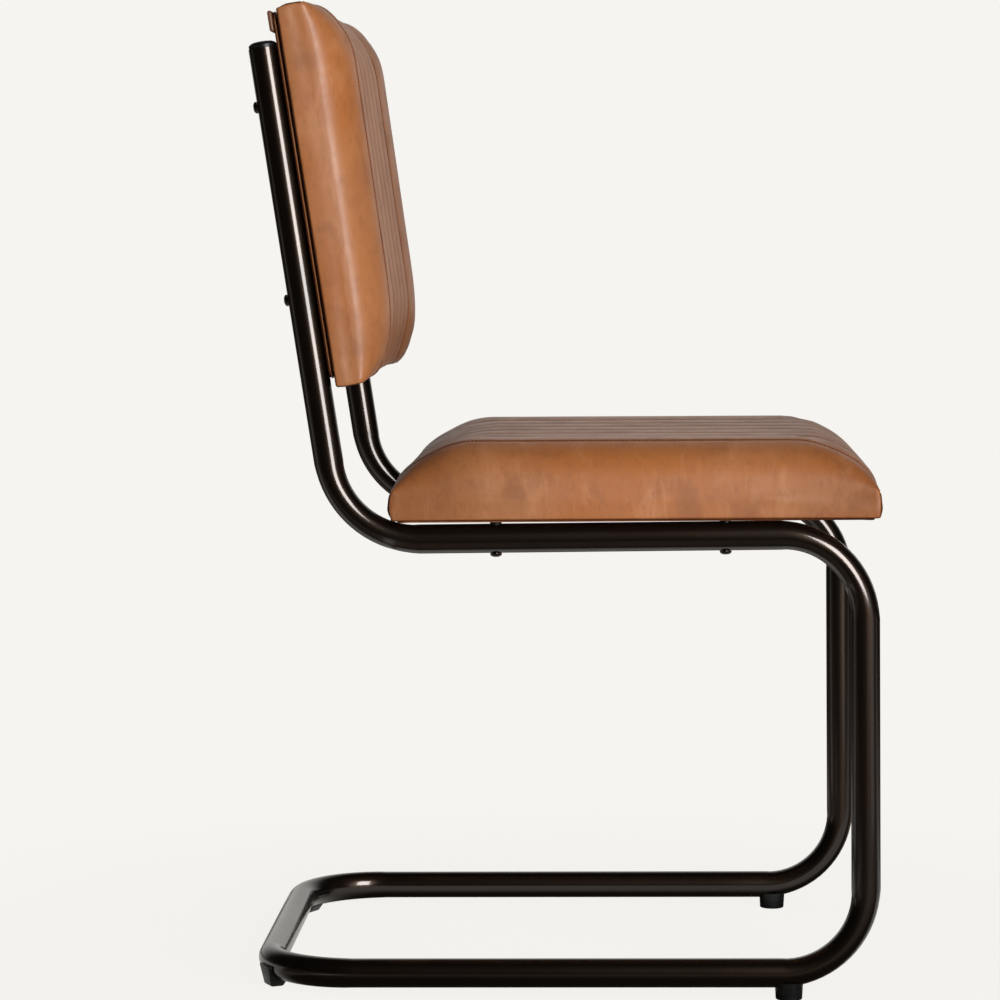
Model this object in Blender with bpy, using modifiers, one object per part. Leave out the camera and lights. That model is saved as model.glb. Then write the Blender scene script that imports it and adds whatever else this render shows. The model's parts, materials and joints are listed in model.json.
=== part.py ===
"""Cantilever dining chair: a bent steel tube frame with a padded seat and a padded back.

The chair faces -Y, +Z is up, and the origin is on the floor under the middle of the base.
Sizes are in metres. "Forward" is a distance towards -Y, and right is the sitter's right, -X.
"""
from dataclasses import dataclass
import math

import bmesh
import bpy
from mathutils import Vector

# Clearances and walls
GAP = 0.0003                    # left between pieces that touch
TUBE_DIAMETER = 0.025
TUBE_WALL = 0.002
COVER_WALL = 0.006              # leather with its wadding
FOAM_EASE = 0.0008              # between the cover and its foam

# Tube frame, centre lines
TRACK = 0.420                   # from side to side
BEND_RADIUS = 0.077
BASE_DEPTH = 0.5173             # from the rear bar to the foot of the front leg
LEG_LEAN = 0.0039               # the top of the front leg stands this far back
RAIL_FRONT_HEIGHT = 0.3999
RAIL_REAR_HEIGHT = 0.3935
POST_SETBACK = 0.0678           # from the rear bar forward to the foot of the post
POST_LEAN = math.radians(8.83)
POST_ABOVE_BOLTS = 0.0485       # from the upper back bolts to the top of the post
SLEEVE_LENGTH = 0.060
SLEEVE_WALL = 0.0015

# Caps and glides
CAP_HEIGHT = 0.0055
CAP_EDGE = 0.0006               # the tube's edge stands out this far round the cap
CAP_STEM = 0.014
CAP_DOME = ((0.0, 1.0), (0.6, 0.94), (0.88, 0.78), (1.0, 0.45))     # shares of radius, height
FRONT_GLIDE_HEIGHT = 0.0105     # under the tube
FRONT_GLIDE_SADDLE = 0.0044     # up the sides of the tube
FRONT_GLIDE_DIAMETER = 0.0244
FRONT_GLIDE_EDGE = 0.0008
FRONT_GLIDE_SETBACK = 0.0660    # from the foot of the front leg
REAR_GLIDE_HEIGHT = 0.0061
REAR_GLIDE_LENGTH = 0.0235
REAR_GLIDE_WALL = 0.0020
REAR_GLIDE_ROUND = 0.0025
REAR_GLIDE_TURN = math.radians(27)      # round the bend, from the end of the rear bar
GLIDE_STEM_DIAMETER = 0.008
GLIDE_STEM_REACH = 0.007        # inside the tube

# Fasteners
BOLT_DIAMETER = 0.006
BOLT_HEAD_DIAMETER = 0.010
BOLT_HEAD_HEIGHT = 0.003
BOLT_DOME = ((1.0, 0.25), (0.8, 0.72), (0.4, 0.95), (0.0, 1.0))     # shares of radius, height
BOLT_CLEARANCE = 0.0003
NUT_BARREL_DIAMETER = 0.0085
NUT_BARREL_LENGTH = 0.0075
NUT_FLANGE_DIAMETER = 0.018
NUT_FLANGE_THICKNESS = 0.0012
SPACER_DIAMETER = 0.0098

# Boards and panels inside and behind the pads
BOARD_THICKNESS = 0.009
PANEL_THICKNESS = 0.004
HEM_HEIGHT = 0.013              # folded hem along the top of the back's rear panel
HEM_DEPTH = 0.0050
HEM_ROUND = 0.0018
HEM_SIDE_GAP = 0.006            # from each post
HEM_DROP = 0.002                # below the panel's upper edge

# Pads and the tube: each pad reaches this far out from the middle of the tube
PAD_OVERHANG = 0.0165

# Where the seat bolts to the rails, measured along a rail from the foot of the post
SEAT_BOLT_START = 0.1323
SEAT_BOLT_SPACING = 0.1953
SEAT_REAR_OVERHANG = 0.0892     # of the seat behind its rear bolts
SEAT_FRONT_OVERHANG = 0.1317    # of the seat ahead of its front bolts
SEAT_GAP_REAR = 0.0028          # from rail to seat at the rear bolts
SEAT_GAP_FRONT = 0.0019

# Where the back bolts to the posts, measured up a post from its foot
BACK_BOLT_START = 0.2085
BACK_BOLT_SPACING = 0.1648
BACK_LOW_OVERHANG = 0.0766      # of the back below its lower bolts
BACK_HIGH_OVERHANG = 0.0828

# Facets and cuts
TUBE_SIDES = 14
BEND_STEPS = 7
ROUND_STEPS = 16
CORNER_STEPS = 3
CHANNEL_STEPS = 4
SIDE_LINES = (0.1, 0.33, 0.66)                  # grid lines, as shares of a pad's side roll
END_LINES = (0.06, 0.2, 0.42, 0.7, 1.0)         # and of the shoulder at an end
SHARP_ANGLE = math.radians(40)
MERGE = 0.00001
CUT_MARGIN = 0.002              # a cutter passes this far through what it cuts

RADIUS = TUBE_DIAMETER / 2
SIDES = {"right": -1, "left": 1}
POST_LENGTH = BACK_BOLT_START + BACK_BOLT_SPACING + POST_ABOVE_BOLTS
RAIL_LENGTH = BASE_DEPTH - POST_SETBACK - LEG_LEAN
RAIL_SLOPE = math.atan2(RAIL_FRONT_HEIGHT - RAIL_REAR_HEIGHT, RAIL_LENGTH)
SEAT_TILT = RAIL_SLOPE - (SEAT_GAP_REAR - SEAT_GAP_FRONT) / SEAT_BOLT_SPACING
POST_FOOT = Vector((0, BASE_DEPTH / 2 - POST_SETBACK, RAIL_REAR_HEIGHT))


@dataclass
class PadEnd:
    """One end of a pad: its upright wall, and the shoulder that rolls over to the top."""

    wall: float
    seam: float
    shoulder: float
    fullness: float


@dataclass
class Pad:
    """A boxed pad with lengthwise channels between two side seams.

    Its own frame has X across, Y along and Z through the thickness, from the rim at 0.
    The high end is at +Y.
    """

    name: str
    panel_name: str
    length: float
    width: float
    side_roll: float
    corner: float
    low: PadEnd
    high: PadEnd
    channels: int
    groove_rise: float
    channel_rise: float
    reveal: float
    side_fullness: float = 2.2
    draw_in: float = 0.002

    @property
    def seam_width(self):
        """Distance between the two side seams."""
        return self.width - 2 * self.side_roll

    def blend(self, low, high, y):
        """Value at y between the low end and the high end."""
        return low + (high - low) * (0.5 + y / self.length)

    def height(self, x, y, inset, rise):
        """Height of the pad's top at x, y; rise is 1 with channels and 0 without."""
        wall = self.blend(self.low.wall, self.high.wall, y) - inset
        seam = self.blend(self.low.seam, self.high.seam, y) - inset
        end = self.high if y > 0 else self.low
        along = shoulder(self.length / 2 - inset - abs(y), end.shoulder, end.fullness)
        edge = self.width / 2 - inset - abs(x)
        across = shoulder(edge, self.side_roll, self.side_fullness)
        bulge = 0.0
        if abs(x) < self.seam_width / 2:
            share = 2 * x / self.seam_width
            wave = abs(math.sin(math.pi * self.channels * (share + 1) / 2))
            bulge = self.groove_rise * (1 - share ** 6) + self.channel_rise * wave ** 0.7
        return wall + (seam - wall) * along * across + rise * bulge * along


def shoulder(inward, length, fullness):
    """Share of full height at a distance inward from the edge of a rolled shoulder."""
    if inward >= length:
        return 1.0
    share = 1 - max(inward, 0.0) / length
    return (1 - share ** fullness) ** (1 / fullness)


SEAT = Pad(
    name="seat", panel_name="base_panel",
    length=SEAT_REAR_OVERHANG + SEAT_BOLT_SPACING + SEAT_FRONT_OVERHANG,
    width=TRACK + 2 * PAD_OVERHANG, side_roll=0.0440, corner=0.012,
    low=PadEnd(wall=0.0222, seam=0.0631, shoulder=0.058, fullness=1.56),
    high=PadEnd(wall=0.0240, seam=0.0642, shoulder=0.073, fullness=1.72),
    channels=7, groove_rise=0.0023, channel_rise=0.0012, reveal=0.0006)

BACK = Pad(
    name="back", panel_name="rear_panel",
    length=BACK_LOW_OVERHANG + BACK_BOLT_SPACING + BACK_HIGH_OVERHANG,
    width=TRACK + 2 * PAD_OVERHANG, side_roll=0.0590, corner=0.012,
    low=PadEnd(wall=0.0206, seam=0.0512, shoulder=0.078, fullness=2.0),
    high=PadEnd(wall=0.0219, seam=0.0545, shoulder=0.060, fullness=1.9),
    channels=7, groove_rise=-0.0019, channel_rise=0.0014, reveal=0.0045,
    side_fullness=2.1)


def clear_scene():
    """Remove every object that the file holds."""
    for item in list(bpy.data.objects):
        bpy.data.objects.remove(item, do_unlink=True)


def make_collection(name):
    """A new collection in the scene."""
    collection = bpy.data.collections.new(name)
    bpy.context.scene.collection.children.link(collection)
    return collection


def make_material(name, colour, roughness, metallic):
    """A plain Principled BSDF material."""
    material = bpy.data.materials.new(name)
    material.use_nodes = True
    shader = material.node_tree.nodes["Principled BSDF"]
    shader.inputs["Base Color"].default_value = (*colour, 1.0)
    shader.inputs["Roughness"].default_value = roughness
    shader.inputs["Metallic"].default_value = metallic
    return material


clear_scene()
CHAIR = make_collection("cantilever_dining_chair")
CUTTERS = make_collection("cutters")
POWDER_COAT = make_material("powder_coat", (0.030, 0.026, 0.024), 0.32, 0.4)
BLACK_PLASTIC = make_material("black_plastic", (0.015, 0.016, 0.016), 0.4, 0.0)
LEATHER = make_material("leather", (0.38, 0.155, 0.060), 0.45, 0.0)
DARK_LEATHER = make_material("dark_leather", (0.16, 0.062, 0.028), 0.5, 0.0)
PLYWOOD = make_material("plywood", (0.55, 0.38, 0.22), 0.7, 0.0)
FOAM = make_material("foam", (0.80, 0.74, 0.55), 0.9, 0.0)
ZINC = make_material("zinc", (0.60, 0.60, 0.58), 0.35, 1.0)


def add_object(name, mesh, material, parent=None, smooth=True):
    """Put a mesh in the scene as a named sub-part, or as a cutter when material is None."""
    item = bpy.data.objects.new(name, mesh)
    if material is None:
        CUTTERS.objects.link(item)
        item.hide_render = True
        item.display_type = "WIRE"
    else:
        CHAIR.objects.link(item)
        mesh.materials.append(material)
        if smooth:
            mesh.shade_smooth()
            mesh.set_sharp_from_angle(angle=SHARP_ANGLE)
    item.parent = parent
    return item


def add_empty(name, location, tilt):
    """A frame for an assembly: a place and a turn about X."""
    item = bpy.data.objects.new(name, None)
    CUTTERS.objects.link(item)
    item.location = location
    item.rotation_euler = (tilt, 0, 0)
    return item


def combine(item, other, operation="DIFFERENCE"):
    """Cut another object out of an item, or join it on."""
    modifier = item.modifiers.new(operation.lower(), "BOOLEAN")
    modifier.operation = operation
    modifier.object = other
    modifier.solver = "EXACT"


def bent_path(corners, radius):
    """Points of a path with every inner corner bent to a radius."""
    points = [corners[0]]
    for before, corner, after in zip(corners, corners[1:], corners[2:]):
        back = (before - corner).normalized()
        ahead = (after - corner).normalized()
        opening = back.angle(ahead)
        centre = corner + (back + ahead).normalized() * radius / math.sin(opening / 2)
        start = corner + back * radius / math.tan(opening / 2) - centre
        turn = math.pi - opening
        side = -back * radius
        for step in range(BEND_STEPS + 1):
            angle = turn * step / BEND_STEPS
            points.append(centre + start * math.cos(angle) + side * math.sin(angle))
    points.append(corners[-1])
    return points


def swept_mesh(name, points, radius, capped):
    """A round tube or rod along points, as a welded mesh."""
    curve = bpy.data.curves.new(name, "CURVE")
    curve.dimensions = "3D"
    curve.bevel_depth = radius
    curve.bevel_resolution = (TUBE_SIDES - 4) // 2
    curve.use_fill_caps = capped
    spline = curve.splines.new("POLY")
    spline.points.add(len(points) - 1)
    for target, point in zip(spline.points, points):
        target.co = (*point, 1.0)
    holder = bpy.data.objects.new(name, curve)
    CUTTERS.objects.link(holder)
    graph = bpy.context.evaluated_depsgraph_get()
    mesh = bpy.data.meshes.new_from_object(holder.evaluated_get(graph))
    bpy.data.objects.remove(holder, do_unlink=True)
    shape = bmesh.new()
    shape.from_mesh(mesh)
    bmesh.ops.remove_doubles(shape, verts=shape.verts, dist=MERGE)
    bmesh.ops.recalc_face_normals(shape, faces=shape.faces)
    shape.to_mesh(mesh)
    shape.free()
    return mesh


def add_tube(name, points, radius, wall, material):
    """A hollow tube with open ends."""
    item = add_object(name, swept_mesh(name, points, radius, capped=False), material)
    skin = item.modifiers.new("wall", "SOLIDIFY")
    skin.thickness = wall
    skin.offset = -1
    return item


def add_turned(name, profile, material, parent, location, closed=False):
    """A turned piece: (radius, height) points from the top down, spun about its own Z."""
    mesh = bpy.data.meshes.new(name)
    shape = bmesh.new()
    points = [shape.verts.new((radius, 0, height)) for radius, height in profile]
    for first, second in zip(points, points[1:]):
        shape.edges.new((first, second))
    if closed:
        shape.edges.new((points[-1], points[0]))
    shape.to_mesh(mesh)
    shape.free()
    item = add_object(name, mesh, material, parent)
    item.location = location
    screw = item.modifiers.new("turn", "SCREW")
    screw.steps = ROUND_STEPS
    screw.render_steps = ROUND_STEPS
    screw.use_merge_vertices = True
    screw.merge_threshold = MERGE
    return item


def add_rod(name, radius, low, high, parent, place):
    """A straight round cutter along its parent's Z, at (x, y) and between two heights."""
    mesh = bpy.data.meshes.new(name)
    shape = bmesh.new()
    bmesh.ops.create_cone(shape, cap_ends=True, segments=ROUND_STEPS,
                          radius1=radius, radius2=radius, depth=high - low)
    shape.to_mesh(mesh)
    shape.free()
    item = add_object(name, mesh, None, parent)
    item.location = (place[0], place[1], (low + high) / 2)
    return item


def slab_mesh(name, width, length, thickness, corner=0.0, round_edges=False):
    """A flat slab with rounded corners, its underside at 0."""
    shape = bmesh.new()
    bmesh.ops.create_cube(shape, size=1)
    bmesh.ops.scale(shape, vec=(width, length, thickness), verts=shape.verts)
    bmesh.ops.translate(shape, vec=(0, 0, thickness / 2), verts=shape.verts)
    if corner:
        upright = [edge for edge in shape.edges
                   if abs(edge.verts[0].co.z - edge.verts[1].co.z) > thickness / 2]
        chosen = list(shape.edges) if round_edges else upright
        bmesh.ops.bevel(shape, geom=chosen, offset=corner, segments=CORNER_STEPS,
                        profile=0.5, affect="EDGES")
    mesh = bpy.data.meshes.new(name)
    shape.to_mesh(mesh)
    shape.free()
    return mesh


def side_path(side):
    """Corner points of one half of the frame, from the top of the post to the rear bar."""
    x = side * TRACK / 2
    front = -BASE_DEPTH / 2
    runner_front = FRONT_GLIDE_HEIGHT + RADIUS
    runner_rear = REAR_GLIDE_HEIGHT + RADIUS
    foot = Vector((x, POST_FOOT.y, POST_FOOT.z))
    top = foot + Vector((0, math.sin(POST_LEAN), math.cos(POST_LEAN))) * POST_LENGTH
    return [
        top,
        foot,
        Vector((x, front + LEG_LEAN, RAIL_FRONT_HEIGHT)),
        Vector((x, front, runner_front)),
        Vector((x, BASE_DEPTH / 2, runner_rear)),
        Vector((side * GAP / 2, BASE_DEPTH / 2, runner_rear)),
    ]


def bolt_places(start, spacing, ends):
    """Named (x, y) places of four bolts; y runs up from start."""
    return {f"{end}_{word}": (side * TRACK / 2, start + row * spacing)
            for row, end in enumerate(ends) for word, side in SIDES.items()}


def add_bolt(name, material, parent, place, underside, length):
    """A domed bolt whose head points down and whose shank rises from the underside."""
    head = BOLT_HEAD_DIAMETER / 2
    shank = BOLT_DIAMETER / 2
    profile = [(0, length), (shank, length), (shank, 0), (head, 0)]
    profile += [(head * out, -BOLT_HEAD_HEIGHT * down) for out, down in BOLT_DOME]
    return add_turned(name, profile, material, parent, (*place, underside))


def add_tee_nut(name, parent, place, top):
    """A tee nut that hangs in its board from a flange at the top."""
    bore = BOLT_DIAMETER / 2 + BOLT_CLEARANCE
    barrel = NUT_BARREL_DIAMETER / 2
    flange = NUT_FLANGE_DIAMETER / 2
    profile = [(bore, 0), (flange, 0), (flange, -NUT_FLANGE_THICKNESS),
               (barrel, -NUT_FLANGE_THICKNESS), (barrel, -NUT_BARREL_LENGTH),
               (bore, -NUT_BARREL_LENGTH)]
    return add_turned(name, profile, ZINC, parent, (*place, top), closed=True)


def pad_lines(pad, inset, with_channels):
    """Places of the grid lines across and along a pad."""
    half = pad.width / 2 - inset
    roll = pad.side_roll
    xs = {side * (half - roll * share) for side in (-1, 1) for share in SIDE_LINES}
    if with_channels:
        steps = pad.channels * CHANNEL_STEPS
        xs.update(pad.seam_width * (line / steps - 0.5) for line in range(steps + 1))
    else:
        xs.update((-half + roll, 0.0, half - roll))
    ys = set()
    for sign, end in ((-1, pad.low), (1, pad.high)):
        ys.update(sign * (pad.length / 2 - inset - end.shoulder * share) for share in END_LINES)
    ys.add(0.0)
    return sorted(xs), sorted(ys)


def pad_mesh(name, pad, inset, bottom, with_channels):
    """The pad's form, shrunk by an inset, with its underside at bottom.

    A cube is cut along the grid lines, its top is lifted to the pad's height, its upright
    corners are rounded and its sides are drawn in between the corners.
    """
    half_width = pad.width / 2 - inset
    half_length = pad.length / 2 - inset
    corner = pad.corner - inset / 2
    shape = bmesh.new()
    bmesh.ops.create_cube(shape, size=2)
    bmesh.ops.scale(shape, vec=(half_width, half_length, 1), verts=shape.verts)
    across, along = pad_lines(pad, inset, with_channels)
    for x in across:
        everything = shape.verts[:] + shape.edges[:] + shape.faces[:]
        bmesh.ops.bisect_plane(shape, geom=everything, plane_co=(x, 0, 0), plane_no=(1, 0, 0))
    for y in along:
        everything = shape.verts[:] + shape.edges[:] + shape.faces[:]
        bmesh.ops.bisect_plane(shape, geom=everything, plane_co=(0, y, 0), plane_no=(0, 1, 0))
    under = [face for face in shape.faces if face.normal.z < -0.5]
    bmesh.ops.dissolve_faces(shape, faces=under)
    draw = pad.draw_in if with_channels else 0.0
    for vertex in shape.verts:
        x, y, z = vertex.co
        vertex.co.z = pad.height(x, y, inset, float(with_channels)) if z > 0 else bottom
        over_x = (abs(x) - half_width + corner) / corner
        over_y = (abs(y) - half_length + corner) / corner
        if over_x > 0 and over_y > 0:
            new_x = over_x * math.sqrt(1 - over_y ** 2 / 2)
            new_y = over_y * math.sqrt(1 - over_x ** 2 / 2)
            vertex.co.x = math.copysign(half_width - corner + corner * new_x, x)
            vertex.co.y = math.copysign(half_length - corner + corner * new_y, y)
        vertex.co.x -= x / half_width * draw * (1 - (y / half_length) ** 2) * abs(x) / half_width
        vertex.co.y -= y / half_length * draw * (1 - (x / half_width) ** 2) * abs(y) / half_length
    mesh = bpy.data.meshes.new(name)
    shape.to_mesh(mesh)
    shape.free()
    return mesh


def add_pad(pad, parent, centre, base, bolts):
    """Cover, foam, board, panel and tee nuts of one pad.

    The panel's outer face is at the height base in the parent's frame, and centre is the
    pad's middle along Y. Returns the cover, the panel and the bolts' length above base.
    """
    rim = base + pad.reveal
    board_low = base + PANEL_THICKNESS + GAP
    board_top = board_low + BOARD_THICKNESS
    inner_width = pad.width - 2 * (COVER_WALL + GAP)
    inner_length = pad.length - 2 * (COVER_WALL + GAP)

    cover = add_object(f"{pad.name}_cover", pad_mesh("cover", pad, 0, 0, True), LEATHER, parent)
    hollow = add_object(f"{pad.name}_hollow",
                        pad_mesh("hollow", pad, COVER_WALL, -CUT_MARGIN, False), None, parent)
    foam_low = board_top + GAP - rim
    foam = add_object(f"{pad.name}_foam",
                      pad_mesh("foam", pad, COVER_WALL + FOAM_EASE, foam_low, False),
                      FOAM, parent)
    for item in (cover, hollow, foam):
        item.location = (0, centre, rim)
    combine(cover, hollow)

    corner = pad.corner
    board = add_object(f"{pad.name}_board",
                       slab_mesh("board", inner_width, inner_length, BOARD_THICKNESS, corner),
                       PLYWOOD, parent)
    board.location = (0, centre, board_low)
    panel = add_object(f"{pad.name}_{pad.panel_name}",
                       slab_mesh("panel", inner_width, inner_length, PANEL_THICKNESS, corner),
                       DARK_LEATHER, parent)
    panel.location = (0, centre, base)

    flange_top = board_top - GAP
    barrel = NUT_BARREL_DIAMETER / 2 + GAP
    flange = NUT_FLANGE_DIAMETER / 2 + GAP
    pocket = flange_top - NUT_FLANGE_THICKNESS - GAP
    for word, place in bolts.items():
        add_tee_nut(f"{pad.name}_tee_nut_{word}", parent, place, flange_top)
        hole = add_rod(f"{pad.name}_nut_hole_{word}", barrel, board_low - CUT_MARGIN,
                       board_top + CUT_MARGIN, parent, place)
        combine(board, hole)
        seat = add_rod(f"{pad.name}_nut_seat_{word}", flange, pocket,
                       board_top + CUT_MARGIN, parent, place)
        combine(board, seat)
    return cover, panel, board_top - GAP - base


def add_frame_half(word, side):
    """One half of the frame with its cap and its two glides.

    Returns the tube and a rod that keeps other pieces clear of it.
    """
    points = bent_path(side_path(side), BEND_RADIUS)
    tube = add_tube(f"frame_tube_{word}", points, RADIUS, TUBE_WALL, POWDER_COAT)
    keep_out = add_object(f"keep_out_{word}",
                          swept_mesh("keep_out", points, RADIUS + GAP, capped=True), None)
    add_front_glide(word, side, tube, keep_out)
    add_rear_glide(word, side, tube, keep_out)
    return tube, keep_out


def add_stem(word, place, low, top, tube):
    """A glide's stem, which goes up into the tube through a hole."""
    stem = add_rod(f"{word}_stem", GLIDE_STEM_DIAMETER / 2, low, top, None, place)
    hole = add_rod(f"{word}_stem_hole", GLIDE_STEM_DIAMETER / 2 + GAP, low, top, None, place)
    combine(tube, hole)
    return stem


def add_front_glide(word, side, tube, keep_out):
    """A stubby round glide under the runner, saddled to the tube."""
    x = side * TRACK / 2
    y = -BASE_DEPTH / 2 + FRONT_GLIDE_SETBACK
    radius = FRONT_GLIDE_DIAMETER / 2
    saddle = FRONT_GLIDE_HEIGHT + FRONT_GLIDE_SADDLE
    edge = FRONT_GLIDE_EDGE
    profile = [(0, saddle), (radius - edge, saddle), (radius, edge), (radius - edge, 0), (0, 0)]
    glide = add_turned(f"front_glide_{word}", profile, BLACK_PLASTIC, None, (x, y, 0))
    combine(glide, keep_out)
    top = FRONT_GLIDE_HEIGHT + TUBE_WALL + GLIDE_STEM_REACH
    stem = add_stem(f"front_glide_{word}", (x, y), FRONT_GLIDE_HEIGHT / 2, top, tube)
    combine(glide, stem, "UNION")


def add_rear_glide(word, side, tube, keep_out):
    """A saddle glide on the rear corner of the base, part way round the bend."""
    x = side * (TRACK / 2 - BEND_RADIUS * (1 - math.sin(REAR_GLIDE_TURN)))
    y = BASE_DEPTH / 2 - BEND_RADIUS * (1 - math.cos(REAR_GLIDE_TURN))
    width = TUBE_DIAMETER + 2 * REAR_GLIDE_WALL
    height = REAR_GLIDE_HEIGHT + RADIUS
    glide = add_object(f"rear_glide_{word}",
                       slab_mesh("saddle", REAR_GLIDE_LENGTH, width, height,
                                 REAR_GLIDE_ROUND, True), BLACK_PLASTIC)
    glide.location = (x, y, 0)
    glide.rotation_euler = (0, 0, -side * REAR_GLIDE_TURN)
    combine(glide, keep_out)
    top = REAR_GLIDE_HEIGHT + TUBE_WALL + GLIDE_STEM_REACH
    stem = add_stem(f"rear_glide_{word}", (x, y), REAR_GLIDE_HEIGHT / 2, top, tube)
    combine(glide, stem, "UNION")


def add_post_cap(word, side, parent):
    """A plastic plug with a low dome in the open top of a post."""
    dome = RADIUS - CAP_EDGE
    stem = RADIUS - TUBE_WALL - GAP
    profile = [(dome * out, CAP_HEIGHT * up) for out, up in CAP_DOME]
    profile += [(dome, 0), (stem, 0), (stem, -CAP_STEM), (0, -CAP_STEM)]
    place = (side * TRACK / 2, POST_LENGTH + GAP, 0)
    cap = add_turned(f"post_cap_{word}", profile, BLACK_PLASTIC, parent, place)
    cap.rotation_euler = (-math.pi / 2, 0, 0)


def add_seat(tubes):
    """The seat on its spacers, bolted up through the rails.

    Its soft rear edge gives way to the bends at the feet of the posts.
    """
    opening = RAIL_SLOPE - SEAT_TILT
    lift = RADIUS + SEAT_GAP_REAR + SEAT_BOLT_START * opening
    normal = Vector((0, math.sin(RAIL_SLOPE), math.cos(RAIL_SLOPE)))
    frame = add_empty("seat_frame", POST_FOOT + normal * lift, -SEAT_TILT)
    places = bolt_places(-SEAT_BOLT_START - SEAT_BOLT_SPACING, SEAT_BOLT_SPACING,
                         ("front", "rear"))
    rear_end = -SEAT_BOLT_START + SEAT_REAR_OVERHANG
    cover, panel, rise = add_pad(SEAT, frame, rear_end - SEAT.length / 2, 0, places)
    for tube, keep_out in tubes.values():
        combine(cover, keep_out)
        combine(panel, keep_out)
    for word, place in places.items():
        row_gap = SEAT_GAP_FRONT if word.startswith("front") else SEAT_GAP_REAR
        tube, keep_out = tubes[word.split("_")[1]]
        underside = -(row_gap + TUBE_DIAMETER + GAP)
        add_bolt(f"seat_bolt_{word}", POWDER_COAT, frame, place, underside, rise - underside)
        hole = add_rod(f"seat_bolt_hole_{word}", BOLT_DIAMETER / 2 + BOLT_CLEARANCE,
                       underside - CUT_MARGIN, PANEL_THICKNESS + CUT_MARGIN, frame, place)
        combine(tube, hole)
        combine(panel, hole)
        spacer = add_spacer(f"seat_spacer_{word}", frame, place, row_gap)
        combine(spacer, keep_out)


def add_spacer(name, parent, place, gap):
    """A ring between rail and seat, whose underside is saddled to the rail."""
    bore = BOLT_DIAMETER / 2 + BOLT_CLEARANCE
    outer = SPACER_DIAMETER / 2
    drop = gap + RADIUS - math.sqrt(RADIUS ** 2 - outer ** 2)
    profile = [(bore, -GAP), (outer, -GAP), (outer, -drop), (bore, -drop)]
    return add_turned(name, profile, BLACK_PLASTIC, parent, (*place, 0), closed=True)


def add_back(tubes):
    """The back against the posts, bolted through them."""
    frame = add_empty("back_frame", POST_FOOT, math.pi / 2 - POST_LEAN)
    places = bolt_places(BACK_BOLT_START, BACK_BOLT_SPACING, ("lower", "upper"))
    base = RADIUS + GAP
    centre = BACK_BOLT_START - BACK_LOW_OVERHANG + BACK.length / 2
    panel, rise = add_pad(BACK, frame, centre, base, places)[1:]
    add_hem(panel, frame, centre + BACK.length / 2 - COVER_WALL - GAP, base)
    for word, place in places.items():
        tube = tubes[word.split("_")[1]][0]
        add_bolt(f"back_bolt_{word}", POWDER_COAT, frame, place, -base, base + base + rise)
        hole = add_rod(f"back_bolt_hole_{word}", BOLT_DIAMETER / 2 + BOLT_CLEARANCE,
                       -base - CUT_MARGIN, base + PANEL_THICKNESS + CUT_MARGIN, frame, place)
        combine(tube, hole)
        combine(panel, hole)
    for word, side in SIDES.items():
        add_post_cap(word, side, frame)


def add_hem(panel, frame, panel_end, base):
    """The folded hem that stands out from the top of the rear panel between the posts."""
    width = TRACK - TUBE_DIAMETER - 2 * HEM_SIDE_GAP
    depth = HEM_DEPTH + PANEL_THICKNESS / 2
    hem = add_object("rear_panel_hem", slab_mesh("hem", width, HEM_HEIGHT, depth, HEM_ROUND, True),
                     None, frame)
    hem.location = (0, panel_end - HEM_HEIGHT / 2 - HEM_DROP, base - HEM_DEPTH)
    combine(panel, hem, "UNION")


def add_sleeve():
    """The inner sleeve that joins the two halves in the middle of the rear bar."""
    height = REAR_GLIDE_HEIGHT + RADIUS
    points = [Vector((end * SLEEVE_LENGTH / 2, BASE_DEPTH / 2, height)) for end in (-1, 1)]
    add_tube("frame_sleeve", points, RADIUS - TUBE_WALL - GAP, SLEEVE_WALL, ZINC)


def main():
    """Build the whole chair."""
    tubes = {word: add_frame_half(word, side) for word, side in SIDES.items()}
    add_sleeve()
    add_seat(tubes)
    add_back(tubes)


main()
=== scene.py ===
"""Looks of a cantilever dining chair: steel tube frame, channelled leather seat and back.

The chair faces -Y, +Z is up and sizes are in metres. The right side is the sitter's, at -X.
Each pad is shaped in its own frame (X across, Y along, Z through the thickness) and then
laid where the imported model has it.
"""
import json
import logging
import math
from collections.abc import Callable, Iterator
from contextlib import contextmanager
from dataclasses import dataclass
from enum import Enum

import bpy
import numpy as np
from mathutils import Matrix, Vector


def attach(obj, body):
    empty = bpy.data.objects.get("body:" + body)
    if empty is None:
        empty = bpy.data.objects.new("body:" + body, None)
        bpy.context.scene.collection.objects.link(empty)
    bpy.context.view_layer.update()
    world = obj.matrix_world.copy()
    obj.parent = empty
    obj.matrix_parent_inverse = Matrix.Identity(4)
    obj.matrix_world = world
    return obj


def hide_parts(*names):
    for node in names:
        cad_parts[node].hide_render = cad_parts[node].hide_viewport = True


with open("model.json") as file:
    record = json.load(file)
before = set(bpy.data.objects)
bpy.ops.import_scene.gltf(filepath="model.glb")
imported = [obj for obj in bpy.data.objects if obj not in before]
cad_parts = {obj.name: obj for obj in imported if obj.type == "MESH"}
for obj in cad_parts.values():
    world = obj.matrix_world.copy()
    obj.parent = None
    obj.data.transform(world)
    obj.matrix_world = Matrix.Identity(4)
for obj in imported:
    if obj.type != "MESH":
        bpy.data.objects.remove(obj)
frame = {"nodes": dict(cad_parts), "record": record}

Piece = bpy.types.Object
Finish = bpy.types.Material
Socket = bpy.types.NodeSocket
Triple = tuple[float, float, float]

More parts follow.
